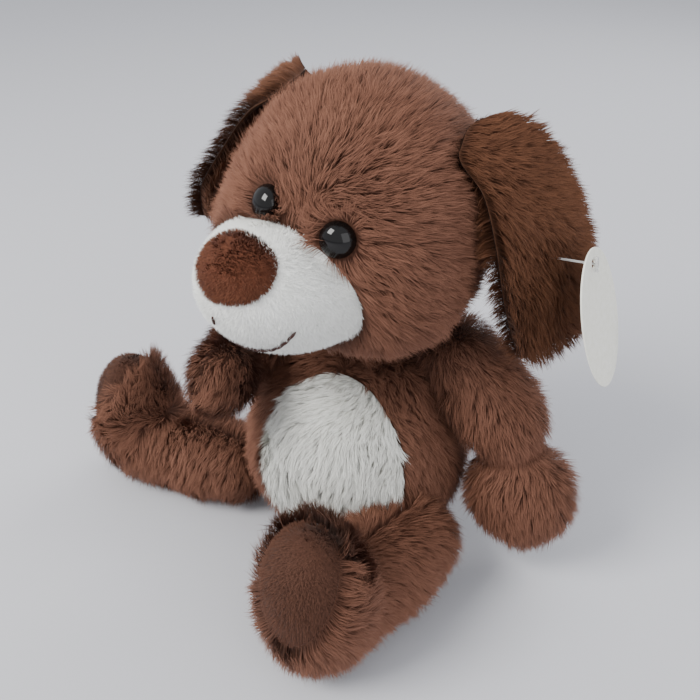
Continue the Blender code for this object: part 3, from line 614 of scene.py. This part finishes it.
def down(p, N):
    c = np.zeros_like(p)
    c[:, 2] = -1.0
    c[:, 0] = 0.25 * np.sign(p[:, 0])
    return c


def belly_comb(p, N):
    # the white pile lies downwards and towards the middle, in waves
    c = np.zeros_like(p)
    c[:, 2] = -1.0
    c[:, 0] = -0.02 * p[:, 0] + 0.8 * vnoise(p / 14.0, 77)
    return c


grow("body_pile", body_skin, "body", BROWN_FUR, in_body, down, 11, 3.2 * D, 9.0, 0.30, 57, 3.4,
     where=lambda p: body_clear(p) & (p[:, 2] > 1.6) & (np.linalg.norm(p - P_NECK, axis=1) > 17.5), low=0.3)
grow("belly_pile", belly_skin, "body", WHITE_FUR, in_body, belly_comb, 12, 4.6 * D, 8.4, 0.28, 52, 3.6,
     where=body_clear, low=0.3)

# ------------------------------------------------------------------ the head
TO_HEAD = euler(-4.0, 11.0, -16.0)
HEAD_AT = np.array([3.0, -1.0, 171.0])


def in_head(p):
    return p @ TO_HEAD.T + HEAD_AT + S


def ball_field(p):
    f = ell(p, (0, 0, 0), (50, 48, 52))
    f = join(f, ell(p, (25, -15, -17), (25, 25, 23)), 16.0)
    return join(f, ell(p, (-25, -15, -17), (25, 25, 23)), 16.0)


HEAD_O = (0.0, -16.0, -8.0)
ASKEW = euler(0, 0, -8.0)


def askew(p):
    return (np.asarray(p, float) - np.array(HEAD_O)) @ ASKEW.T + np.array(HEAD_O)


def head_field(p):
    q = (p - np.array(HEAD_O)) @ ASKEW + np.array(HEAD_O)
    return join(ball_field(p), ell(q, (0, -42, -21), (33, 38, 25.5)), 7.0)


MUZZLE_AXIS = (0.0, -1.0, -0.14)


def muzzle_seam(phi):
    return 0.767 - 0.221 * np.cos(phi) - 0.072 * np.cos(2 * phi) + 0.036 * np.cos(3 * phi)


EYE_R, EYE_H = 7.2, 5.6
EYES = {}
for side, ex, ez in (("left", 17.5, 7.8), ("right", -15.8, 8.2)):
    o_ = np.array([ex, -10.0, ez])
    at = o_ + np.array([0, -1.0, 0]) * reach(head_field, o_, np.array([[0, -1.0, 0]]), 0.0)[0]
    EYES[side] = (at, grad(head_field, at[None])[0])

neck_in_head = TO_HEAD.T @ (P_NECK - HEAD_AT)


def head_clear(p):
    ok = np.linalg.norm(p - neck_in_head, axis=1) > 19.5
    for at, n in EYES.values():
        ok &= np.linalg.norm(p - at, axis=1) > EYE_R + 0.1
    return ok


def off_eyes(p, c, far=7.0):
    """Turn the comb away from the eyes near their rims."""
    for at, n in EYES.values():
        d = p - at
        d = d - n * (d @ n)[:, None]
        r = np.linalg.norm(d, axis=1)
        k = np.clip(1 - (r - EYE_R) / far, 0, 1)[:, None]
        c = c * (1 - k) + (d / (r[:, None] + 1e-9)) * k * 1.3
    return c


def muzzle_level(t, phi):
    # a faint crease down the middle, from the nose to under the chin
    mid = np.exp(-((np.abs(np.abs(phi - math.pi)) / 0.10) ** 2))
    return 0.6 - 0.9 * mid * np.clip(t * 1.6 - 0.3, 0, 1) * np.clip(1.4 - t, 0, 1)


head_skin = ball_skin(head_field, HEAD_O, MUZZLE_AXIS, muzzle_seam, 1.0, "bag", 64, 8, 34)
muz_skin = ball_skin(head_field, HEAD_O, MUZZLE_AXIS, muzzle_seam, muzzle_level, "cap", 64, 16, 34)
o = show("head_backing", head_skin, BROWN_SKIN, "head", ("head_cover",), in_head)
o = show("muzzle_backing", muz_skin, MUZZLE_SKIN, "head", ("muzzle_cover",), in_head)


def from_muzzle(p, N):
    # the face pile runs back and outwards from the muzzle, then down the cheeks
    c = p - np.array([0.0, -62.0, -8.0])
    c /= np.linalg.norm(c, axis=1)[:, None]
    c = c + np.array([0.0, 0.25, -0.30])
    low_ = np.clip((-p[:, 2] - 5) / 30, 0, 1)
    c[:, 2] -= 0.6 * low_
    c += 0.35 * np.stack([np.sign(p[:, 0]) * np.clip(np.abs(p[:, 0]) / 20, 0, 1), 0 * low_, 0 * low_], -1)
    return off_eyes(p, c)


def head_where(p):
    return head_clear(p)


grow("head_pile", head_skin, "head", BROWN_FUR, in_head, from_muzzle, 21, 3.4 * D, 8.9, 0.29, 57, 3.2,
     where=head_where)
grow("muzzle_pile", muz_skin, "head", MUZZLE_FUR, in_head, from_muzzle, 22, 3.0 * D, 1.9, 0.34, 38, 2.2,
     where=head_where, segs=1, cluster=0.25, jitter=0.15)

NOSE_AXIS = tuple(ASKEW @ np.array((0.0, -1.0, 0.03)))


def nose_seam(phi):
    return 0.240 + 0.004 * np.cos(phi) - 0.062 * np.cos(2 * phi) - 0.006 * np.cos(3 * phi) + 0.012 * np.cos(4 * phi)


def nose_level(t, phi):
    return 1.0 + 4.0 * np.sqrt(np.clip(1 - t ** 2.6, 0, 1))


nose_skin = ball_skin(head_field, HEAD_O, NOSE_AXIS, nose_seam, nose_level, "cap", 48, 12, 8)
# shading normals from the puffed shape itself
tt = nose_skin.tris()
fn = np.cross(nose_skin.v[tt[:, 1]] - nose_skin.v[tt[:, 0]], nose_skin.v[tt[:, 2]] - nose_skin.v[tt[:, 0]])
nn = np.zeros_like(nose_skin.v)
for k in range(3):
    np.add.at(nn, tt[:, k], fn)
nose_skin.n = nn / (np.linalg.norm(nn, axis=1)[:, None] + 1e-9)
show("nose_backing", nose_skin, NOSE_SKIN, "head", ("nose_patch",), in_head)
grow("nose_pile", nose_skin, "head", NOSE_FUR, in_head, lambda p, N: np.tile(np.array([0.3, 0.2, -1.0]), (len(p), 1)),
     23, 5.0 * D, 1.5, 0.34, 34, 2.0, segs=1, cluster=0.25, jitter=0.15)

# ------------------------------------------------------------------ eyes
EYE_MAT = bpy.data.materials.new("eye_black")
EYE_MAT.use_nodes = True
n_, l_, b_ = links(EYE_MAT)
b_.inputs["Base Color"].default_value = (0.004, 0.0035, 0.0035, 1)
b_.inputs["Roughness"].default_value = 0.07
b_.inputs["Specular IOR Level"].default_value = 0.35
EYE_MAT.diffuse_color = (0.004, 0.004, 0.004, 1)


def lathe(profile, at, axis, nu=48):
    """Points of a turned shape about an axis; the profile runs top to bottom."""
    a_, u_, w_ = frame_of(axis, (0.13, 0.2, 1))
    phi = np.arange(nu) / nu * 2 * math.pi
    V, first = [], []
    for k, (r, z) in enumerate(profile):
        first.append(sum(len(x) for x in V))
        if r < 1e-6:
            V.append((np.asarray(at) + a_ * z)[None])
        else:
            V.append(np.asarray(at) + a_ * z + r * (np.cos(phi)[:, None] * u_ + np.sin(phi)[:, None] * w_))
    V = np.concatenate(V)
    tri, quad, _ = grid_faces(nu, len(profile) - 1, profile[0][0] < 1e-6, profile[-1][0] < 1e-6)
    return V, tri, quad


for side, (at, n) in EYES.items():
    prof = [(0.0, 1.2 + EYE_H)]
    for i in range(1, 19):
        b = math.radians(5 * i)
        prof.append((EYE_R * math.sin(b) ** 0.97, 1.5 + (EYE_H - 0.3) * math.cos(b)))
    prof += [(EYE_R, 1.0), (EYE_R - 0.5, 0.4), (1.8, 0.4), (1.8, -8.2), (1.1, -9.0), (0.0, -9.0)]
    V, tri, quad = lathe(prof, at, n)
    me = mesh_from(side + "_eye_dome", in_head(V), tri[:, ::-1], quad[:, ::-1])
    me.set_sharp_from_angle(angle=math.radians(40))
    piece(side + "_eye_dome", me, EYE_MAT, "head", (side + "_eye",))

# ------------------------------------------------------------------ stitches
THREAD_MAT = cloth_material("embroidery", (0.022, 0.007, 0.005), (0.050, 0.016, 0.011), 2500, 0.55, 0.4, 0.0002, sheen=0.05)


def stitches(name, pts, body, stands, r=0.62, step=2.1, length=4.4):
    """A line of short overlapping satin stitches along a path (mm, row frame)."""
    P = np.asarray(pts, float)
    seg = np.linalg.norm(np.diff(P, axis=0), axis=1)
    s = np.concatenate([[0], np.cumsum(seg)])
    at = np.arange(length / 2, s[-1] - length / 2 + 0.01, step) if s[-1] > length else np.array([s[-1] / 2])
    V, T, Q, k0 = [], [], [], 0
    for i, c in enumerate(at):
        c0 = np.array([np.interp(c - length / 2, s, P[:, j]) for j in range(3)])
        c1 = np.array([np.interp(c + length / 2, s, P[:, j]) for j in range(3)])
        d = c1 - c0
        L = np.linalg.norm(d)
        d /= L
        prof = [(0.0, L)] + [(r * math.sin(math.pi * x) ** 0.5, L * (1 - x)) for x in (0.06, 0.16, 0.3, 0.5, 0.7, 0.84, 0.94)] + [(0.0, 0.0)]
        off = 0.18 * (-1) ** i
        v, t, q = lathe(prof, c0 + np.array([0, 0, off]), d, 10)
        V.append(v); T.append(t[:, ::-1] + k0); Q.append(q[:, ::-1] + k0)
        k0 += len(v)
    me = mesh_from(name, np.concatenate(V), np.concatenate(T), np.concatenate(Q))
    return piece(name, me, THREAD_MAT, body, stands)


def on_face(x, z, level):
    o_ = np.array([0.0, -30.0, -20.0])
    t_ = np.array([x, -75.0, z]) - o_
    o_, t_ = askew(o_), ASKEW @ (t_ / np.linalg.norm(t_))
    return o_ + t_ * reach(head_field, o_, t_[None, :], level)[0]


smile = in_head(np.array([on_face(x, -41.5 + 21.5 * abs(x / 39.0) ** 3.9, 1.9) for x in np.linspace(-39, 39, 61)]))
stitches("mouth_stitches", smile, "head", ("mouth_thread",))
phil = in_head(np.array([on_face(1.5, z, 2.0) for z in np.linspace(-29.4, -24.0, 8)]))
stitches("nose_stitch", phil, "head", ("nose_thread",), r=0.6, step=1.9, length=3.4)

# ------------------------------------------------------------------ limbs
FURRED = {}
for name, lm in LIMBS.items():
    fld, sp, up = lm["field"], lm["spine"], lm["up"]
    place = limb_place(lm)
    seam = None
    if name.endswith("leg"):
        seam = lambda phi: 1.0 / np.sqrt((np.cos(phi) / 1.16) ** 2 + (np.sin(phi) / 0.92) ** 2)
    sk = limb_skin(fld, sp, up, 1.0 if name != "tail" else 0.6, 40, 7, 16, 9, "bag", seam)
    cover = name + "_cover"
    o = show(name + "_backing", sk, BROWN_SKIN, name, (cover,), place, 0.5)
    tipdir = np.array(sp[-1], float) - np.array(sp[1], float)
    tipdir /= np.linalg.norm(tipdir)
    spn = spline(sp, 24)
    tan = np.gradient(spn, axis=0)
    tan /= np.linalg.norm(tan, axis=1)[:, None]

    def comb(p, N, spn=spn, tan=tan, name=name):
        j = np.argmin(np.linalg.norm(p[:, None] - spn[None], axis=2), axis=1)
        c = tan[j].copy()
        if name.endswith("leg"):
            # the pile falls to the sides and fans out round the edge of the sole
            foot = np.clip((j - 13) / 7, 0, 1)[:, None]
            off = p - spn[j]
            off -= tan[j] * np.sum(off * tan[j], 1)[:, None]
            off /= np.linalg.norm(off, axis=1)[:, None] + 1e-6
            side_ = np.zeros_like(p)
            side_[:, 0] = np.where(off[:, 0] > 0, 0.8, -0.8)
            side_[:, 2] = -0.7
            fan = p - spn[-1]
            fan[:, 1] *= 0.4
            fan /= np.linalg.norm(fan, axis=1)[:, None] + 1e-6
            c = (side_ - 0.45 * c) * (1 - foot) + foot * (fan - 0.25 * c)
        else:
            c[:, 2] -= 0.25
        return c

    R, at = lm["R"], lm["at"]

    def clear(p, R=R, at=at):
        w = p @ R.T + at
        return body_field(w) > -4.0

    grow(name + "_pile", sk, name, BROWN_FUR, place, comb, 31 + 7 * len(FURRED), 3.3 * D, 8.8 if name != "tail" else 8.0,
         0.30, 54, 3.4, where=clear, low=0.3)
    if seam is not None:
        sole = limb_skin(fld, sp, up, 0.8, 40, 7, 16, 12, "cap", seam)
        so = show(name[:-4] + "_sole_backing", sole, SOLE_SKIN, name, (name[:-4] + "_sole",), place)
        grow(name[:-4] + "_sole_pile", sole, name, SOLE_FUR, place, lambda p, N: np.tile(np.array([0.2, 0.0, -1.0]), (len(p), 1)),
             91 + len(FURRED), 3.2 * D, 1.9, 0.34, 35, 2.2, segs=1, cluster=0.25, jitter=0.15, low=0.3)
    FURRED[name] = o

# ------------------------------------------------------------------ the ears
EARS = {
    "left": dict(line=[(39, -9, 46.5), (53.5, 4, 39.5), (68, 16, 20), (80.5, 24, -4), (90, 28.5, -31)], n=(0.80, -0.25, 0.42), w=32.0),
    "right": dict(line=[(42.5, -6, 42), (58, 1, 29), (69, 4, 4), (75.5, 3, -18), (77, -2, -36)], n=(0.93, -0.15, 0.28), w=28.0),
}
EAR_T = 5.4


def ear_mid(t, a, s):
    E = EARS["left" if s > 0 else "right"]
    line = spline(E["line"], 81)
    i = np.clip(t, 0, 1) * 80
    k = np.minimum(i.astype(int), 79)
    f = (i - k)[:, None]
    c = line[k] * (1 - f) + line[k + 1] * f
    d = line[np.minimum(k + 1, 80)] - line[k]
    d /= np.linalg.norm(d, axis=1)[:, None]
    n = np.array(E["n"], float)
    n = n - d * (d @ n)[:, None]
    n /= np.linalg.norm(n, axis=1)[:, None]
    w = np.cross(d, n)
    g = np.sin(np.clip(t, 0, 1) * math.pi * 0.62)
    half = E["w"] * np.where(a > 0, 0.38 + 0.64 * g ** 1.7, 0.52 + 0.52 * g ** 1.2)
    cup = np.where(a > 0, -1.5, 9.0) * np.sin(np.clip(t, 0, 1) * math.pi * 0.55) * a * a
    p = c + w * (half * a)[:, None] - n * cup[:, None]
    p[:, 0] *= s
    n[:, 0] *= s
    d = d * np.array([s, 1, 1])
    return p, n, d


for side, s in (("left", 1), ("right", -1)):
    for layer, sign in (("outer", 1.0), ("inner", -1.0)):
        nr, nc = 34, 26
        th = np.linspace(0.09, math.pi - 0.05, nr)
        c = np.linspace(-1, 1, nc)
        TH, CC = np.meshgrid(th, np.sin(c * math.pi / 2), indexing="ij")
        sn = np.sin(TH)
        t = (0.5 - 0.5 * np.cos(TH)).ravel()
        av = (CC * sn ** (0.55 - 0.2 * (0.5 - 0.5 * np.cos(TH)))).ravel()
        edge = np.sqrt(np.clip(1 - CC ** 2, 0, 1)).ravel() * (sn ** 0.6).ravel()
        # the inner edge of the near ear rolls a little, and both layers are soft
        roll = 1.1 * np.sin(t * 9 + 2 * av) * (1 - np.abs(av))
        p, n, d = ear_mid(t, av, s)
        p = p + n * (sign * (0.15 + 1.6 * edge) + 0.5 * roll)[:, None]
        idx = np.arange(nr * nc).reshape(nr, nc)
        quad = np.stack([idx[:-1, :-1], idx[1:, :-1], idx[1:, 1:], idx[:-1, 1:]], -1).reshape(-1, 4)
        sk = Skin(p, n * sign, np.zeros((0, 3), int), quad)
        nm = "%s_ear_%s" % (side, layer)
        body = side + "_ear"
        show(nm + "_backing", sk, DARK_SKIN, body, (nm,), in_head)
        line = spline(EARS[side]["line"], 40) * np.array([s, 1, 1])
        tl = np.gradient(line, axis=0)
        tl /= np.linalg.norm(tl, axis=1)[:, None]

        def comb(p, N, line=line, tl=tl):
            j = np.argmin(np.linalg.norm(p[:, None] - line[None], axis=2), axis=1)
            off = p - line[j]
            return tl[j] * 0.9 + 0.045 * off

        grow(nm + "_pile", sk, body, DARK_FUR, in_head, comb, 141 + 3 * s + int(sign), 4.0 * D, 7.4, 0.30, 50, 3.1,
             where=lambda p: ball_field(p) > 2.0)

# ------------------------------------------------------------------ tag
ear_piv = np.array(EARS["left"]["line"][0], float)
tp, tn, _ = ear_mid(np.array([0.65]), np.array([-0.03]), 1)
tp, tn = tp[0], tn[0]
card_at = in_head((tp + tn * (EAR_T + 15.5))[None])[0]
ex = np.array([0.93, -0.25, 0.27])
ex /= np.linalg.norm(ex)
upv = np.array([-0.26, 0.0, 1.0])
ez = upv - ex * (ex @ upv)
ez /= np.linalg.norm(ez)
ey = np.cross(ez, ex)
TAG_L, TAG_W, TAG_T, HOLE = 60.0, 36.0, 0.7, 1.9
nu = 96
ph = np.arange(nu) / nu * 2 * math.pi
rows = []
hole = np.stack([HOLE * np.sin(ph), HOLE * np.cos(ph)], -1)
rim = np.stack([TAG_W / 2 * np.sin(ph), TAG_L / 2 * np.cos(ph) - (TAG_L / 2 - 6.0)], -1)
for x, f0 in ((TAG_T / 2, 0.0), (TAG_T / 2, 0.35), (TAG_T / 2, 0.7), (TAG_T / 2, 0.985), (TAG_T / 2 - 0.2, 1.0),
              (-TAG_T / 2 + 0.2, 1.0), (-TAG_T / 2, 0.985), (-TAG_T / 2, 0.7), (-TAG_T / 2, 0.35), (-TAG_T / 2, 0.0)):
    q = hole * (1 - f0) + rim * f0
    warp = 0.0004 * (q[:, 1] + 24) ** 2 * 0.6
    rows.append(card_at + (x + warp)[:, None] * ex + q[:, :1] * ey + q[:, 1:] * ez)
nr = len(rows)
V = np.concatenate(rows)
quad = []
for r in range(nr):
    for i in range(nu):
        j = (i + 1) % nu
        quad.append((r * nu + i, ((r + 1) % nr) * nu + i, ((r + 1) % nr) * nu + j, r * nu + j))
CARD = bpy.data.materials.new("tag_card")
CARD.use_nodes = True
n_, l_, b_ = links(CARD)
tc = n_.new("ShaderNodeTexCoord")
no = n_.new("ShaderNodeTexNoise")
no.inputs["Scale"].default_value = 420
no.inputs["Detail"].default_value = 5
l_.new(tc.outputs["Object"], no.inputs["Vector"])
rp = ramp(n_, [(0.35, (0.80, 0.79, 0.69)), (0.65, (0.87, 0.86, 0.77))])
l_.new(no.outputs[0], rp.inputs[0])
l_.new(rp.outputs[0], b_.inputs["Base Color"])
bp = n_.new("ShaderNodeBump")
bp.inputs["Strength"].default_value = 0.08
bp.inputs["Distance"].default_value = 0.0002
l_.new(no.outputs[0], bp.inputs["Height"])
l_.new(bp.outputs[0], b_.inputs["Normal"])
b_.inputs["Roughness"].default_value = 0.38
b_.inputs["Coat Weight"].default_value = 0.2
CARD.diffuse_color = (0.85, 0.84, 0.75, 1)
sk = Skin(V, np.tile(ex, (len(V), 1)), np.zeros((0, 3), int), np.array(quad))
me = mesh_from("tag_card", V, None, np.array(quad))
me.set_sharp_from_angle(angle=math.radians(30))
o = piece("tag_card", me, CARD, "hang_tag", ("hang_tag",))
bpy.context.view_layer.update()

NYLON = bpy.data.materials.new("clear_nylon")
NYLON.use_nodes = True
n_, l_, b_ = links(NYLON)
b_.inputs["Base Color"].default_value = (0.85, 0.85, 0.84, 1)
b_.inputs["Roughness"].default_value = 0.22
b_.inputs["Transmission Weight"].default_value = 0.55
b_.inputs["IOR"].default_value = 1.5

# ------------------------------------------------------------------ care label
SATIN = bpy.data.materials.new("label_satin")
SATIN.use_nodes = True
n_, l_, b_ = links(SATIN)
tc = n_.new("ShaderNodeTexCoord")
wv_ = n_.new("ShaderNodeTexWave")
wv_.inputs["Scale"].default_value = 900
wv_.inputs["Distortion"].default_value = 0.6
l_.new(tc.outputs["Object"], wv_.inputs["Vector"])
rp = ramp(n_, [(0.2, (0.74, 0.74, 0.73)), (0.8, (0.86, 0.86, 0.85))])
l_.new(wv_.outputs["Color"], rp.inputs[0])
l_.new(rp.outputs[0], b_.inputs["Base Color"])
bp = n_.new("ShaderNodeBump")
bp.inputs["Strength"].default_value = 0.2
bp.inputs["Distance"].default_value = 0.0001
l_.new(wv_.outputs["Color"], bp.inputs["Height"])
l_.new(bp.outputs[0], b_.inputs["Normal"])
b_.inputs["Roughness"].default_value = 0.35
b_.inputs["Sheen Weight"].default_value = 0.3
dlab = np.array([0.42, 0.90, -0.10])
dlab /= np.linalg.norm(dlab)
o_ = np.array([0.0, 0.0, 40.0])
pl = o_ + dlab * reach(body_field, o_, dlab[None], 0.5)[0]
nl = grad(body_field, pl[None])[0]
ul = np.array([0, 0, 1.0]) - nl * nl[2]
ul /= np.linalg.norm(ul)
wl = np.cross(nl, ul)
us = np.linspace(0, 1, 25)
prof = []
for u_ in us:                           # out, round the fold and back
    x = 21.5 * math.sin(math.pi * u_) ** 0.75
    z = 0.9 * math.cos(math.pi * u_)
    prof.append((x, z))
prof = np.array(prof)
thk = 0.12
V = []
for sgn in (1, -1):
    for x, z in prof:
        sc = 1 - sgn * thk / 2 / 0.9 * (1 if abs(z) > 0.02 else 1)
        for w_ in np.linspace(-7, 7, 9):
            sagz = -0.006 * x * x * 0.5 + 0.35 * math.sin(w_ * 0.5 + x * 0.2)
            V.append(pl + nl * (x - 0.5 + (thk / 2) * sgn * (x / 22) - 0.0) + wl * w_ + ul * (z * sc + sagz))
V = np.array(V) + S
nw, npf = 9, len(prof)
quad = []
for layer in range(2):
    b0 = layer * npf * nw
    for i in range(npf - 1):
        for j in range(nw - 1):
            f4 = (b0 + i * nw + j, b0 + (i + 1) * nw + j, b0 + (i + 1) * nw + j + 1, b0 + i * nw + j + 1)
            quad.append(f4 if layer == 0 else f4[::-1])
top, bot = 0, npf * nw
for i in range(npf - 1):
    for j in (0, nw - 1):
        f4 = (top + i * nw + j, bot + i * nw + j, bot + (i + 1) * nw + j, top + (i + 1) * nw + j)
        quad.append(f4 if j == 0 else f4[::-1])
for i in (0, npf - 1):
    for j in range(nw - 1):
        f4 = (top + i * nw + j, top + i * nw + j + 1, bot + i * nw + j + 1, bot + i * nw + j)
        quad.append(f4 if i == 0 else f4[::-1])
me = mesh_from("label_loop", V, None, np.array(quad))
piece("label_loop", me, SATIN, "body", ("care_label",))

# ------------------------------------------------------------------ kept nodes
FIBRE = cloth_material("fibre_fill", (0.72, 0.72, 0.70), (0.88, 0.88, 0.87), 300, 1.0, 0.8, 0.001)
WASHER = bpy.data.materials.new("washer_plastic")
WASHER.use_nodes = True
n_, l_, b_ = links(WASHER)
tc = n_.new("ShaderNodeTexCoord")
no = n_.new("ShaderNodeTexNoise")
no.inputs["Scale"].default_value = 500
l_.new(tc.outputs["Object"], no.inputs["Vector"])
rp = ramp(n_, [(0.3, (0.70, 0.70, 0.69)), (0.7, (0.80, 0.80, 0.79))])
l_.new(no.outputs[0], rp.inputs[0])
l_.new(rp.outputs[0], b_.inputs["Base Color"])
b_.inputs["Roughness"].default_value = 0.5
for nm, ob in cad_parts.items():
    mat = None
    if nm.endswith("stuffing"):
        mat = FIBRE
    elif nm.endswith("washer"):
        mat = WASHER
    elif nm == "tag_fastener":
        mat = NYLON
    elif nm == "neck_thread":
        mat = THREAD_MAT
    if mat is not None and not ob.hide_render:
        if not ob.material_slots:
            ob.data.materials.append(mat)
        for sl in ob.material_slots:
            sl.link = "OBJECT"
            sl.material = mat

# ------------------------------------------------------------------ set
FLOOR = bpy.data.materials.new("floor")
FLOOR.use_nodes = True
n_, l_, b_ = links(FLOOR)
b_.inputs["Base Color"].default_value = (0.56, 0.56, 0.59, 1)
b_.inputs["Roughness"].default_value = 0.95
b_.inputs["Specular IOR Level"].default_value = 0.1
me = bpy.data.meshes.new("floor")
me.from_pydata([(-15, -15, 0), (15, -15, 0), (15, 15, 0), (-15, 15, 0)], [], [(0, 1, 2, 3)])
fl = bpy.data.objects.new("floor", me)
bpy.context.scene.collection.objects.link(fl)
me.materials.append(FLOOR)


def area(name, loc, target, size, power, color=(1, 1, 1)):
    L = bpy.data.lights.new(name, "AREA")
    L.shape = "RECTANGLE"
    L.size, L.size_y = size
    L.energy = power
    L.color = color
    o = bpy.data.objects.new(name, L)
    bpy.context.scene.collection.objects.link(o)
    o.location = loc
    o.rotation_mode = "QUATERNION"
    o.rotation_quaternion = (Vector(loc) - Vector(target)).to_track_quat("Z", "Y")
    return o


area("key", (-0.75, -0.85, 1.15), (0, 0, 0.1), (0.7, 0.7), 29.0, (1.0, 0.985, 0.96))
area("fill", (1.2, -0.9, 0.7), (0, 0, 0.1), (1.3, 1.3), 9.0, (0.99, 0.99, 1.0))
area("rim", (0.5, 1.1, 1.0), (0, 0, 0.15), (0.9, 0.6), 8.0, (0.97, 0.98, 1.0))
W = bpy.data.worlds.new("studio")
W.use_nodes = True
W.node_tree.nodes["Background"].inputs[0].default_value = (0.88, 0.90, 0.94, 1)
W.node_tree.nodes["Background"].inputs[1].default_value = 1.0
bpy.context.scene.world = W

bpy.context.view_layer.update()
